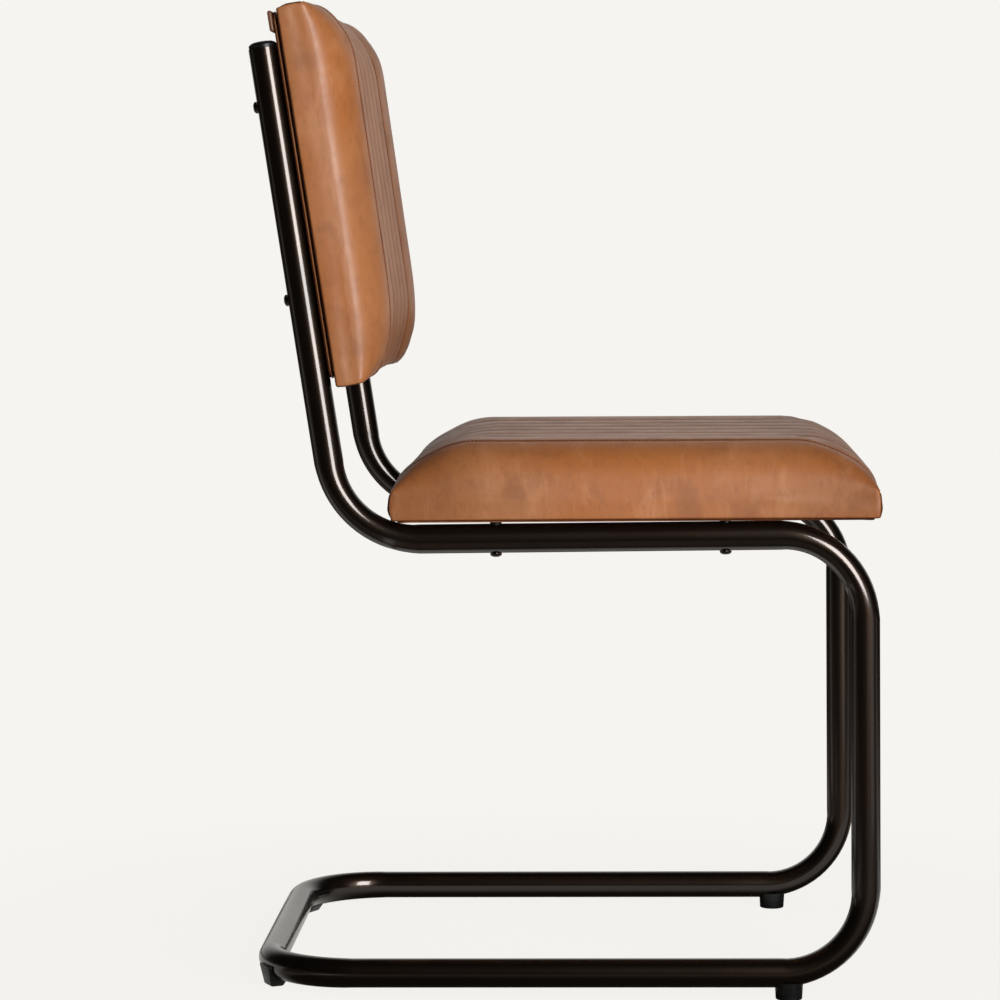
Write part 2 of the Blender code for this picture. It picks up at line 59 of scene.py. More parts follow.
LOG = logging.getLogger("dining_chair")
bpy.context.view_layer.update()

TUBE_RADIUS = 0.0125
TUBE_WALL = 0.002
TRACK = 0.420
BEND_RADIUS = 0.077
BASE_DEPTH = 0.5173
LEG_LEAN = 0.0039
RAIL_FRONT_HEIGHT = 0.3999
RAIL_REAR_HEIGHT = 0.3935
POST_SETBACK = 0.0678
POST_LEAN = math.radians(8.83)
POST_LENGTH = 0.4218
FRONT_GLIDE_HEIGHT = 0.0105
REAR_GLIDE_HEIGHT = 0.0061
TOUCH = 0.0003
STEEP = 0.9

SEAT_BOLT_START = 0.1323
SEAT_BOLT_SPACING = 0.1953
SEAT_REAR_OVERHANG = 0.0892
SEAT_GAP_REAR = 0.0028
SEAT_GAP_FRONT = 0.0019
BACK_BOLT_START = 0.2085
BACK_BOLT_SPACING = 0.1648
BACK_LOW_OVERHANG = 0.0766

RAIL_LENGTH = BASE_DEPTH - POST_SETBACK - LEG_LEAN
RAIL_SLOPE = math.atan2(RAIL_FRONT_HEIGHT - RAIL_REAR_HEIGHT, RAIL_LENGTH)
SEAT_TILT = RAIL_SLOPE - (SEAT_GAP_REAR - SEAT_GAP_FRONT) / SEAT_BOLT_SPACING
POST_FOOT = Vector((0.0, BASE_DEPTH / 2 - POST_SETBACK, RAIL_REAR_HEIGHT))


class Side(Enum):
    """The two sides of the chair, as the sign of X."""

    RIGHT = -1
    LEFT = 1

    @property
    def word(self) -> str:
        """The side's name in lower case."""
        return self.name.lower()


def seat_frame() -> Matrix:
    """Place of the seat's own frame in the world."""
    lift = TUBE_RADIUS + SEAT_GAP_REAR + SEAT_BOLT_START * (RAIL_SLOPE - SEAT_TILT)
    normal = Vector((0, math.sin(RAIL_SLOPE), math.cos(RAIL_SLOPE)))
    return Matrix.Translation(POST_FOOT + normal * lift) @ Matrix.Rotation(-SEAT_TILT, 4, "X")


def back_frame() -> Matrix:
    """Place of the back's own frame in the world."""
    return Matrix.Translation(POST_FOOT) @ Matrix.Rotation(math.pi / 2 - POST_LEAN, 4, "X")


def upward(normal: Vector) -> bool:
    """Whether a face with this normal looks up."""
    return normal.z > STEEP


def downward(normal: Vector) -> bool:
    """Whether a face with this normal looks down."""
    return normal.z < -STEEP


class Graph:
    """The nodes of one material or world, with short ways to add them and join them."""

    def __init__(self, name: str, world: bool = False) -> None:
        """Start a material or a world.

        Args:
            name: Its name.
            world: True for a world.
        """
        self.owner = (bpy.data.worlds if world else bpy.data.materials).new(name)
        self.owner.use_nodes = True
        self.tree = self.owner.node_tree
        self.shader = self.tree.nodes["Background" if world else "Principled BSDF"]

    def feed(self, socket: Socket, value: object) -> None:
        """Link a socket to another, or set its value.

        Args:
            socket: The input to feed.
            value: An output socket, a number or a colour.
        """
        if isinstance(value, Socket):
            self.tree.links.new(value, socket)
        elif isinstance(value, tuple) and len(value) == 3 and len(socket.default_value) == 4:
            socket.default_value = (*value, 1.0)
        else:
            socket.default_value = value

    def add(self, kind: str, settings: dict | None = None,
            inputs: dict | None = None) -> bpy.types.Node:
        """Add a shader node.

        Args:
            kind: The node's type without its prefix.
            settings: The node's properties.
            inputs: Values or sockets for its inputs.

        Returns:
            The new node.
        """
        node = self.tree.nodes.new("ShaderNode" + kind)
        for key, value in (settings or {}).items():
            setattr(node, key, value)
        for key, value in (inputs or {}).items():
            self.feed(node.inputs[key], value)
        return node

    def attribute(self, name: str) -> Socket:
        """The values that a mesh stores under a name."""
        return self.add("Attribute", {"attribute_name": name}).outputs["Fac"]

    def place(self, scale: Triple = (1, 1, 1)) -> Socket:
        """The object's own coordinates, scaled along the three axes."""
        start = self.add("TexCoord").outputs["Object"]
        return self.add("Mapping", None, {"Vector": start, "Scale": scale}).outputs["Vector"]

    def noise(self, vector: Socket, scale: float, detail: float = 3.0,
              roughness: float = 0.5, distortion: float = 0.0) -> Socket:
        """Soft noise between 0 and 1.

        Args:
            vector: Coordinates.
            scale: Features for each metre.
            detail: Octaves.
            roughness: Strength of the finer octaves.
            distortion: How much the pattern swirls.

        Returns:
            The factor socket.
        """
        node = self.add("TexNoise", None, {"Vector": vector, "Scale": scale, "Detail": detail,
                                           "Roughness": roughness, "Distortion": distortion})
        return node.outputs["Fac"]

    def ramp(self, value: Socket, low: float, high: float,
             start: float = 0.0, end: float = 1.0) -> Socket:
        """Map a value smoothly from one range to another.

        Args:
            value: The value to map.
            low: Input that gives start.
            high: Input that gives end.
            start: Output at low.
            end: Output at high.

        Returns:
            The result socket.
        """
        node = self.add("MapRange", {"interpolation_type": "SMOOTHSTEP"},
                        {"Value": value, "From Min": low, "From Max": high,
                         "To Min": start, "To Max": end})
        return node.outputs["Result"]

    def strip(self, value: Socket, edges: tuple[float, ...], top: float = 1.0) -> Socket:
        """A smooth plateau over part of a value's range.

        Args:
            value: The value.
            edges: Where the plateau starts to rise, is full, starts to fall and ends.
            top: Height of the plateau.

        Returns:
            The result socket.
        """
        return self.math("MULTIPLY", self.ramp(value, *edges[:2], 0.0, top),
                         self.ramp(value, *edges[2:], 1.0, 0.0))

    def mix(self, amount: object, first: object, second: object) -> Socket:
        """Mix two colours.

        Args:
            amount: Share of the second colour.
            first: First colour.
            second: Second colour.

        Returns:
            The colour socket.
        """
        return self.add("Mix", {"data_type": "RGBA"},
                        {0: amount, 6: first, 7: second}).outputs[2]

    def math(self, operation: str, *values: object) -> Socket:
        """Join values by a Math node's operation."""
        return self.add("Math", {"operation": operation}, dict(enumerate(values))).outputs[0]

    def bump(self, height: Socket, depth: float, strength: float,
             under: Socket | None = None) -> Socket:
        """Roughen the surface.

        Args:
            height: Height between 0 and 1.
            depth: Real height of 1, in metres.
            strength: Share of the effect.
            under: Normal of a bump under this one.

        Returns:
            The normal socket.
        """
        node = self.add("Bump", None, {"Height": height, "Distance": depth,
                                       "Strength": strength})
        if under is not None:
            self.feed(node.inputs["Normal"], under)
        return node.outputs["Normal"]

    def finish(self, **values: object) -> bpy.types.ID:
        """Feed the shader's sockets.

        Args:
            **values: Values by socket name, with underscores for spaces.

        Returns:
            The finished material or world.
        """
        for key, value in values.items():
            self.feed(self.shader.inputs[key.replace("_", " ")], value)
        return self.owner


@dataclass(frozen=True)
class WaxedLeather:
    """Pull-up leather: mottled tan, fine grain, darker seams and painted shade in grooves and
    under edges.
    """

    name: str = "tan_waxed_leather"
    dark: Triple = (0.200, 0.068, 0.022)
    tan: Triple = (0.328, 0.124, 0.042)
    light: Triple = (0.420, 0.178, 0.076)
    ember: Triple = (0.315, 0.104, 0.026)
    # Colour of the darker seams and ends and of the painted shade.
    burnt: Triple = (0.045, 0.010, 0.004)
    coat: float = 0.08
    cloud_scale: float = 7.0
    patch_scale: float = 24.0
    streak_scale: float = 52.0
    fibre_scale: float = 210.0
    crease_scale: float = 240.0
    pore_scale: float = 900.0

    def material(self) -> Finish:
        """The leather's material."""
        graph = Graph(self.name)
        place = graph.place()
        burnish = graph.attribute("burnish")
        crest = graph.attribute("crest")
        clouds = graph.noise(place, self.cloud_scale, 3.0, 0.55, 0.6)
        patches = graph.noise(place, self.patch_scale, 4.0, 0.6, 0.5)
        fall = graph.place((0.4, 1.0, 0.4))
        streaks = graph.noise(fall, self.streak_scale, 4.0, 0.6, 0.5)
        fibres = graph.noise(fall, self.fibre_scale, 3.0, 0.6, 0.3)
        colour = graph.mix(graph.ramp(clouds, 0.36, 0.66), self.tan, self.ember)
        colour = graph.mix(graph.ramp(patches, 0.46, 0.74, 0.0, 0.62), colour, self.dark)
        colour = graph.mix(graph.ramp(streaks, 0.48, 0.76, 0.0, 0.55), colour, self.light)
        colour = graph.mix(graph.ramp(fibres, 0.50, 0.74, 0.0, 0.38), colour, self.dark)
        # Darker seams and ends, and painted shade in the grooves, under the lower edges and on
        # the rear panel.
        colour = graph.mix(burnish, colour, self.burnt)
        pores = graph.add("TexVoronoi", {"feature": "F1"},
                          {"Vector": place, "Scale": self.pore_scale}).outputs["Distance"]
        creases = graph.noise(place, self.crease_scale, 3.0, 0.65, 0.8)
        soft = graph.bump(graph.noise(place, 26.0, 3.0, 0.5, 0.3), 0.0016, 0.35)
        drawn = graph.bump(streaks, 0.0009, 0.30, soft)
        grained = graph.bump(creases, 0.00022, 0.30, drawn)
        normal = graph.bump(pores, 0.00012, 0.25, grained)
        shine = graph.math("ADD", graph.ramp(patches, 0.3, 0.8, 0.41, 0.53),
                           graph.ramp(creases, 0.3, 0.7, -0.03, 0.05))
        gloss = graph.math("ADD", graph.ramp(burnish, 0.0, 0.6, 0.44, 0.06),
                           graph.ramp(crest, 0.50, 1.0, 0.0, 0.80))
        return graph.finish(Base_Color=colour, Roughness=shine, Normal=normal,
                            Coat_Weight=graph.ramp(burnish, 0.1, 0.6, self.coat, 0.0),
                            Coat_Roughness=0.33, Specular_IOR_Level=gloss,
                            Sheen_Weight=graph.ramp(burnish, 0.0, 0.5, 0.12, 0.02),
                            Sheen_Roughness=0.35, Sheen_Tint=(1.0, 0.84, 0.76))


@dataclass(frozen=True)
class PowderCoat:
    """Dark bronze powder coat with a clear, satin top."""

    name: str = "bronze_powder_coat"
    colour: Triple = (0.034, 0.021, 0.0135)
    deep: Triple = (0.023, 0.015, 0.0105)
    cloud_scale: float = 14.0
    peel_scale: float = 700.0
    speck_scale: float = 2400.0

    def material(self) -> Finish:
        """The coat's material."""
        graph = Graph(self.name)
        place = graph.place()
        cloud = graph.noise(place, self.cloud_scale, 3.0)
        peel = graph.noise(place, self.peel_scale, 2.0, 0.5)
        speck = graph.noise(place, self.speck_scale, 2.0, 0.6)
        colour = graph.mix(graph.ramp(cloud, 0.35, 0.7), self.colour, self.deep)
        normal = graph.bump(speck, 0.00004, 0.15, graph.bump(peel, 0.00006, 0.12))
        rough = graph.ramp(cloud, 0.3, 0.7, 0.30, 0.37)
        return graph.finish(Base_Color=colour, Roughness=rough, Normal=normal, Metallic=0.95,
                            Coat_Weight=1.0, Coat_Roughness=0.13, Coat_IOR=1.56)


@dataclass(frozen=True)
class MouldedPlastic:
    """Black moulded plastic of the caps, glides and spacers."""

    name: str = "black_moulded_plastic"
    colour: Triple = (0.004, 0.004, 0.004)
    worn: Triple = (0.010, 0.010, 0.010)
    scuff_scale: float = 120.0
    grain_scale: float = 1800.0

    def material(self) -> Finish:
        """The plastic's material."""
        graph = Graph(self.name)
        scuffs = graph.noise(graph.place((1.0, 1.0, 5.0)), self.scuff_scale, 4.0, 0.6, 0.5)
        fine = graph.noise(graph.place(), self.grain_scale, 2.0, 0.5)
        colour = graph.mix(graph.ramp(scuffs, 0.45, 0.75), self.colour, self.worn)
        return graph.finish(Base_Color=colour, Roughness=graph.ramp(scuffs, 0.3, 0.7, 0.28, 0.46),
                            Specular_IOR_Level=0.35, Normal=graph.bump(fine, 0.00005, 0.3))


@dataclass(frozen=True)
class WaxedThread:
    """Twisted polyester thread."""

    name: str = "rust_thread"
    colour: Triple = (0.150, 0.042, 0.020)
    shade: Triple = (0.080, 0.020, 0.010)
    twist_scale: float = 900.0

    def material(self) -> Finish:
        """The thread's material."""
        graph = Graph(self.name)
        twist = graph.add("TexWave", {"wave_type": "BANDS", "bands_direction": "DIAGONAL"},
                          {"Vector": graph.place(), "Scale": self.twist_scale}).outputs["Fac"]
        colour = graph.mix(twist, self.shade, self.colour)
        return graph.finish(Base_Color=colour, Roughness=0.5,
                            Normal=graph.bump(twist, 0.0001, 0.5))


@dataclass(frozen=True)
class Plain:
    """A hidden material with a grain: wood, foam or plated steel."""

    name: str
    colour: Triple
    shade: Triple
    scale: Triple
    roughness: float
    metallic: float = 0.0

    def material(self) -> Finish:
        """The material."""
        graph = Graph(self.name)
        grain = graph.noise(graph.place(self.scale), 30.0, 5.0, 0.6, 0.5)
        colour = graph.mix(graph.ramp(grain, 0.3, 0.7), self.colour, self.shade)
        return graph.finish(Base_Color=colour, Roughness=self.roughness, Metallic=self.metallic,
                            Normal=graph.bump(grain, 0.0003, 0.3))


class Bench:
    """Shared ways to start, shape and finish a mesh by hand."""

    @staticmethod
    def clear() -> None:
        """Deselect everything in object mode."""
        if bpy.context.object and bpy.context.object.mode != "OBJECT":
            bpy.ops.object.mode_set(mode="OBJECT")
        bpy.ops.object.select_all(action="DESELECT")

    @staticmethod
    def hold(piece: Piece) -> None:
        """Make a piece the only selected one."""
        Bench.clear()
        piece.select_set(True)
        bpy.context.view_layer.objects.active = piece

    @staticmethod
    def apply(piece: Piece, kind: str, **settings: object) -> None:
        """Add a modifier and apply it.

        Args:
            piece: The piece.
            kind: The modifier's type.
            **settings: Its properties.
        """
        Bench.hold(piece)
        modifier = piece.modifiers.new(kind.lower(), kind)
        for key, value in settings.items():
            setattr(modifier, key, value)
        bpy.ops.object.modifier_apply(modifier=modifier.name)

    @staticmethod
    def settle(piece: Piece) -> None:
        """Put a piece's place into its mesh and its object at the origin."""
        Bench.hold(piece)
        bpy.ops.object.transform_apply(location=True, rotation=True, scale=True)

    @staticmethod
    @contextmanager
    def editing(piece: Piece) -> Iterator[None]:
        """Edit a piece with all of it selected, and leave edit mode at the end."""
        Bench.hold(piece)
        bpy.ops.object.mode_set(mode="EDIT")
        bpy.ops.mesh.select_all(action="SELECT")
        yield
        bpy.ops.object.mode_set(mode="OBJECT")

    @staticmethod
    @contextmanager
    def picked(piece: Piece, faces: Callable[[Vector], bool] | None = None,
               edges: Callable[[Vector, Vector], bool] | None = None) -> Iterator[None]:
        """Edit a piece with some faces or edges selected, and leave edit mode at the end.

        Args:
            piece: The piece.
            faces: Takes a face's normal, and says whether to select the face.
            edges: Takes an edge's two ends, and says whether to select the edge.
        """
        Bench.hold(piece)
        bpy.ops.object.mode_set(mode="EDIT")
        bpy.ops.mesh.select_mode(type="FACE" if faces else "EDGE")
        bpy.ops.mesh.select_all(action="DESELECT")
        bpy.ops.object.mode_set(mode="OBJECT")
        for polygon in piece.data.polygons if faces else ():
            polygon.select = faces(polygon.normal)
        for edge in piece.data.edges if edges else ():
            edge.select = edges(*(piece.data.vertices[index].co for index in edge.vertices))
        bpy.ops.object.mode_set(mode="EDIT")
        yield
        bpy.ops.object.mode_set(mode="OBJECT")

    @staticmethod
    def face_out(piece: Piece) -> None:
        """Turn all faces outwards."""
        with Bench.editing(piece):
            bpy.ops.mesh.normals_make_consistent(inside=False)

    @staticmethod
    def push(value: Vector) -> None:
        """Extrude what is selected along a vector."""
        bpy.ops.mesh.extrude_region_move(TRANSFORM_OT_translate={"value": value})

    @staticmethod
    def box(size: Triple, middle: Triple) -> Piece:
        """A block of a size about a middle."""
        Bench.clear()
        bpy.ops.mesh.primitive_cube_add(size=1, location=middle, scale=size)
        block = bpy.context.object
        Bench.settle(block)
        return block

    @staticmethod
    def read(piece: Piece) -> np.ndarray:
        """The places of a piece's vertices."""
        flat = np.empty(len(piece.data.vertices) * 3)
        piece.data.vertices.foreach_get("co", flat)
        return flat.reshape(-1, 3)

    @staticmethod
    def normals(piece: Piece) -> np.ndarray:
        """The normals at a piece's vertices."""
        flat = np.empty(len(piece.data.vertices) * 3)
        piece.data.vertex_normals.foreach_get("vector", flat)
        return flat.reshape(-1, 3)

    @staticmethod
    def write(piece: Piece, place: np.ndarray) -> None:
        """Move a piece's vertices."""
        piece.data.vertices.foreach_set("co", np.ascontiguousarray(place).ravel())
        piece.data.update()

    @staticmethod
    def mark(piece: Piece, name: str, values: np.ndarray) -> None:
        """Store a value for each vertex, under a name that a material reads."""
        mark = piece.data.attributes.new(name, "FLOAT", "POINT")
        mark.data.foreach_set("value", np.asarray(values, np.float32))

    @staticmethod
    def sweep(points: list[Vector], radius: float, radii: tuple[float, ...], sides: int,
              steps: int, squash: float = 0.0) -> Piece:
        """Draw a circle along a path by extruding straights and spinning bends.

        Args:
            points: Corner points of the path.
            radius: Radius of the circle.
            radii: Radius of each bend.
            sides: Sides of the circle.
            steps: Steps of each bend.
            squash: How much the circle flattens in the middle of a bend, as a share.

        Returns:
            The open tube.
        """
        ahead = (points[1] - points[0]).normalized()
        Bench.clear()
        bpy.ops.mesh.primitive_circle_add(vertices=sides, radius=radius, location=points[0],
                                          rotation=ahead.to_track_quat("Z", "Y").to_euler())
        tube = bpy.context.object
        Bench.settle(tube)
        here = points[0]
        bends = []
        with Bench.editing(tube):
            for corner, after, bend in zip(points[1:], points[2:], radii):
                onward = (after - corner).normalized()
                turn = ahead.angle(onward)
                cut = bend * math.tan(turn / 2)
                start = corner - ahead * cut
                Bench.push(start - here)
                axis = ahead.cross(onward).normalized()
                centre = start + axis.cross(ahead) * bend
                bends.append((centre, axis, ahead, turn, bend))
                bpy.ops.mesh.spin(steps=steps, angle=-turn, center=centre, axis=axis)
                here = corner + onward * cut
                ahead = onward
            Bench.push(points[-1] - here)
        for bend in bends if squash else ():
            Bench.flatten(tube, radius, squash, *bend)
        return tube

    @staticmethod
    def flatten(tube: Piece, radius: float, squash: float, centre: Vector,
                axis: Vector, ahead: Vector, turn: float, bend: float) -> None:
        """Flatten a tube in one bend, as a bending machine does.

        Args:
            tube: The tube.
            radius: Its radius.
            squash: How much it flattens in the middle of the bend, as a share.
            centre: Centre of the bend.
            axis: Axis of the bend.
            ahead: Direction of the tube into the bend.
            turn: Angle of the bend.
            bend: Radius of the bend.
        """
        out = -axis.cross(ahead)
        for vertex in tube.data.vertices:
            offset = vertex.co - centre
            height = offset.dot(axis)
            flat = offset - axis * height
            angle = math.atan2(flat.dot(ahead), flat.dot(out))
            if not 0 < angle < turn or math.hypot(flat.length - bend, height) > 1.2 * radius:
                continue
            share = squash * math.sin(math.pi * angle / turn) ** 0.6
            reach = bend + (flat.length - bend) * (1 - share)
            vertex.co = centre + flat.normalized() * reach + axis * height * (1 + share / 2)

    @staticmethod
    def sew(lines: list[tuple[np.ndarray, np.ndarray, float]], pitch: float,
            length: float) -> Piece:
        """Sew dashes along lines.

        Args:
            lines: For each line its points, the surface normals there and the thread's radius.
            pitch: Distance from one dash to the next.
            length: Length of a dash.

        Returns:
            The dashes as one object.
        """
        margin = 0.006
        proud = 0.7
        Bench.clear()
        bpy.ops.mesh.primitive_uv_sphere_add(segments=8, ring_count=6, radius=0.5)
        single = bpy.context.object
        shape = Bench.read(single)
        faces = [tuple(polygon.vertices) for polygon in single.data.polygons]
        points: list[np.ndarray] = []
        polygons: list[tuple[int, ...]] = []
        for path, normals, radius in lines:
            steps = np.linalg.norm(np.diff(path, axis=0), axis=1)
            lengths = np.concatenate(([0], np.cumsum(steps)))
            for spot in np.arange(margin, lengths[-1] - margin, pitch):
                middle, beyond = (np.array([np.interp(at, lengths, path[:, k]) for k in range(3)])
                                  for at in (spot, spot + 0.001))
                ahead = (beyond - middle) / np.linalg.norm(beyond - middle)
                up = normals[np.searchsorted(lengths, spot) - 1]
                up = up - ahead * up.dot(ahead)
                up = up / np.linalg.norm(up)
                local = shape * (2 * radius, length, 2 * radius)
                base = len(points) * len(shape)
                points.append(middle + up * radius * proud
                              + local @ np.array([np.cross(up, ahead), ahead, up]))
                polygons.extend(tuple(v + base for v in face) for face in faces)
        bpy.data.objects.remove(single)
        mesh = bpy.data.meshes.new("stitches")
        mesh.from_pydata(np.concatenate(points).tolist(), [], polygons)
        piece = bpy.data.objects.new("stitches", mesh)
        bpy.context.collection.objects.link(piece)
        return piece

    @staticmethod
    def copy(piece: Piece, name: str, matrix: Matrix) -> Piece:
        """Copy a piece with its own mesh.

        Args:
            piece: The piece to copy.
            name: The copy's name.
            matrix: Where the copy's mesh goes.

        Returns:
            The copy.
        """
        twin = piece.copy()
        twin.data = piece.data.copy()
        twin.name = name
        bpy.context.collection.objects.link(twin)
        twin.data.transform(matrix)
        if matrix.determinant() < 0:
            twin.data.flip_normals()
        return twin

    @staticmethod
    def dress(piece: Piece, name: str, material: Finish, slot: str,
              *nodes: str, angle: float = 35.0) -> None:
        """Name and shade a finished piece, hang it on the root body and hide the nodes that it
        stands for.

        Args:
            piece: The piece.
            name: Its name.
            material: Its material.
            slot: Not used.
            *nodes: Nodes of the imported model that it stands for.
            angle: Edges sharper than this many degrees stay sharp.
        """
        piece.name = name
        piece.data.materials.clear()
        piece.data.materials.append(material)
        Bench.hold(piece)
        bpy.ops.object.shade_smooth_by_angle(angle=math.radians(angle))
        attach(piece, "root")
        if nodes:
            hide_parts(*nodes)
        LOG.info("%s: %d faces", name, len(piece.data.polygons))


@dataclass
class TubeFrame:
    """The bent tube with its caps, glides and bolts."""

    sides: int = 56
    bend_steps: int = 18
    bends: tuple[float, ...] = (BEND_RADIUS, 0.0715, 0.0725, BEND_RADIUS)
    squash: float = 0.10
    cap_height: float = 0.0055
    cap_edge: float = 0.0006
    plug_depth: float = 0.014
    glide_radius: float = 0.0122
    glide_sides: int = 48
    glide_taper: float = 0.93
    glide_setback: float = 0.066
    saddle_rise: float = 0.0044
    block_length: float = 0.0235
    block_wall: float = 0.0015
    block_edge: float = 0.0016
    block_foot: Triple = (0.76, 0.40, 1.0)
    block_turn: float = math.radians(27)
    block_shift: float = 0.0045
    bolt_radius: float = 0.005
    bolt_height: float = 0.003
    bolt_sides: int = 40
    shank_radius: float = 0.003
    shank_length: float = 2 * TUBE_RADIUS + 0.014
    socket_radius: float = 0.0019
    socket_depth: float = 0.0017

    def corners(self) -> list[Vector]:
        """Corner points of the right half, from the top of the post to the rear bar."""
        x = -TRACK / 2
        front = -BASE_DEPTH / 2
        foot = Vector((x, POST_FOOT.y, POST_FOOT.z))
        up = Vector((0, math.sin(POST_LEAN), math.cos(POST_LEAN)))
        rear_height = REAR_GLIDE_HEIGHT + TUBE_RADIUS
        return [foot + up * POST_LENGTH, foot,
                Vector((x, front + LEG_LEAN, RAIL_FRONT_HEIGHT)),
                Vector((x, front, FRONT_GLIDE_HEIGHT + TUBE_RADIUS)),
                Vector((x, BASE_DEPTH / 2, rear_height)),
                Vector((0, BASE_DEPTH / 2, rear_height))]

    def rod(self, radius: float) -> Piece:
        """The right half as an open tube of some radius."""
        return Bench.sweep(self.corners(), radius, self.bends, self.sides, self.bend_steps,
                           self.squash)

    def tube(self, coat: Finish) -> None:
        """The whole tube, as one piece with a wall."""
        tube = self.rod(TUBE_RADIUS)
        Bench.apply(tube, "MIRROR", merge_threshold=0.0001)
        Bench.face_out(tube)
        Bench.apply(tube, "SOLIDIFY", thickness=TUBE_WALL, offset=-1.0)
        Bench.dress(tube, "bent_tube", coat, "powder_coat",
                    "frame_tube_right", "frame_tube_left")

    @staticmethod
    def disc(radius: float, height: float, steps: list[tuple[float, float]],
             segments: int) -> Piece:
        """A round block with its underside at 0 and insets that dome its top.

        Args:
            radius: Radius of the block.
            height: Height of the block with its dome.
            steps: Width and rise of each inset.
            segments: Sides of the circle.

        Returns:
            The block.
        """
        upright = height - sum(rise for _, rise in steps)
        Bench.clear()
        bpy.ops.mesh.primitive_cylinder_add(vertices=segments, radius=radius, depth=upright,
                                            location=(0, 0, upright / 2))
        block = bpy.context.object
        Bench.settle(block)
        with Bench.picked(block, faces=upward):
            for width, rise in steps:
                bpy.ops.mesh.inset(thickness=width, depth=0)
                bpy.ops.transform.translate(value=(0, 0, rise))
        return block

    def caps(self, plastic: Finish) -> None:
        """The domed plugs in the tops of the posts."""
        steps = [(0.0005, 0.0007), (0.0012, 0.0010), (0.0024, 0.0009), (0.003, 0.0004)]
        cap = self.disc(TUBE_RADIUS - self.cap_edge, self.cap_height, steps, self.sides)
        with Bench.picked(cap, faces=downward):
            bpy.ops.mesh.inset(thickness=TUBE_WALL - self.cap_edge + TOUCH, depth=0)
            Bench.push(Vector((0, 0, -self.plug_depth)))
        post = back_frame() @ Matrix.Rotation(-math.pi / 2, 4, "X")
        for side in Side:
            place = Matrix.Translation((side.value * TRACK / 2, 0, POST_LENGTH + TOUCH))
            piece = Bench.copy(cap, "cap", post @ place)
            Bench.dress(piece, f"domed_cap_{side.word}", plastic, "black_plastic",
                        f"post_cap_{side.word}")
        bpy.data.objects.remove(cap)

    def glides(self, plastic: Finish) -> None:
        """The round front glides and the saddle blocks on the rear corners."""
        rod = self.rod(TUBE_RADIUS + TOUCH)
        with Bench.editing(rod):
            bpy.ops.mesh.fill_holes(sides=0)
            bpy.ops.mesh.normals_make_consistent(inside=False)
        for name, piece in (("front", self.front_glide()), ("rear", self.rear_glide())):
            Bench.apply(piece, "BOOLEAN", operation="DIFFERENCE", object=rod, solver="EXACT")
            for side in Side:
                flip = Matrix.Scale(-side.value, 4, (1, 0, 0))
                twin = Bench.copy(piece, "glide", flip)
                Bench.dress(twin, f"floor_{name}_glide_{side.word}", plastic, "black_plastic",
                            f"{name}_glide_{side.word}", angle=30.0)
            bpy.data.objects.remove(piece)
        bpy.data.objects.remove(rod)

    def front_glide(self) -> Piece:
        """A stubby round foot, narrower at the floor."""
        height = FRONT_GLIDE_HEIGHT + self.saddle_rise
        foot = self.disc(self.glide_radius, height, [(0.0006, 0.0)], self.glide_sides)
        with Bench.picked(foot, faces=downward):
            bpy.ops.transform.resize(value=(self.glide_taper, self.glide_taper, 1.0))
            bpy.ops.mesh.bevel(offset=0.0009, segments=3)
        foot.data.transform(Matrix.Translation((-TRACK / 2,
                                                -BASE_DEPTH / 2 + self.glide_setback, 0)))
        return foot

    def rear_glide(self) -> Piece:
        """A saddle block part way round the rear bend, with its foot towards the outside."""
        width = 2 * (TUBE_RADIUS + self.block_wall)
        height = REAR_GLIDE_HEIGHT + TUBE_RADIUS
        block = Bench.box((self.block_length, width, height), (0, 0, height / 2))
        with Bench.picked(block, faces=downward):
            bpy.ops.transform.resize(value=self.block_foot)
            bpy.ops.transform.translate(value=(0, self.block_shift, 0))
        Bench.apply(block, "BEVEL", width=self.block_edge, segments=3)
        side = TRACK / 2 - BEND_RADIUS * (1 - math.sin(self.block_turn))
        rear = BASE_DEPTH / 2 - BEND_RADIUS * (1 - math.cos(self.block_turn))
        block.data.transform(Matrix.Translation((-side, rear, 0))
                             @ Matrix.Rotation(self.block_turn, 4, "Z"))
        return block

    def bolt(self) -> Piece:
        """A button head bolt, head up with its underside at 0, with a hexagon socket."""
        steps = [(0.0004, 0.0006), (0.0008, 0.0007), (0.0012, 0.0005)]
        head = self.disc(self.bolt_radius, self.bolt_height, steps, self.bolt_sides)
        Bench.clear()
        bpy.ops.mesh.primitive_cylinder_add(vertices=6, radius=self.socket_radius,
                                            depth=2 * self.socket_depth,
                                            location=(0, 0, self.bolt_height))
        key = bpy.context.object
        Bench.apply(head, "BOOLEAN", operation="DIFFERENCE", object=key, solver="EXACT")
        bpy.data.objects.remove(key)
        with Bench.picked(head, faces=downward):
            bpy.ops.mesh.inset(thickness=self.bolt_radius - self.shank_radius, depth=0)
            Bench.push(Vector((0, 0, -self.shank_length)))
        return head

    def bolts(self, coat: Finish) -> None:
        """Bolts behind the posts and under the rails."""
        bolt = self.bolt()
        turn = Matrix.Rotation(math.pi, 4, "X")
        rows = (("back", "lower", BACK_BOLT_START, TUBE_RADIUS),
                ("back", "upper", BACK_BOLT_START + BACK_BOLT_SPACING, TUBE_RADIUS),
                ("seat", "rear", -SEAT_BOLT_START, SEAT_GAP_REAR + 2 * TUBE_RADIUS),
                ("seat", "front", -SEAT_BOLT_START - SEAT_BOLT_SPACING,
                 SEAT_GAP_FRONT + 2 * TUBE_RADIUS))
        for pad, word, along, depth in rows:
            lay = back_frame() if pad == "back" else seat_frame()
            for side in Side:
                spot = Matrix.Translation((side.value * TRACK / 2, along, -depth - TOUCH))
                piece = Bench.copy(bolt, "bolt", lay @ spot @ turn)
                Bench.dress(piece, f"button_bolt_{word}_{side.word}", coat, "powder_coat",
                            f"{pad}_bolt_{word}_{side.word}")
        bpy.data.objects.remove(bolt)

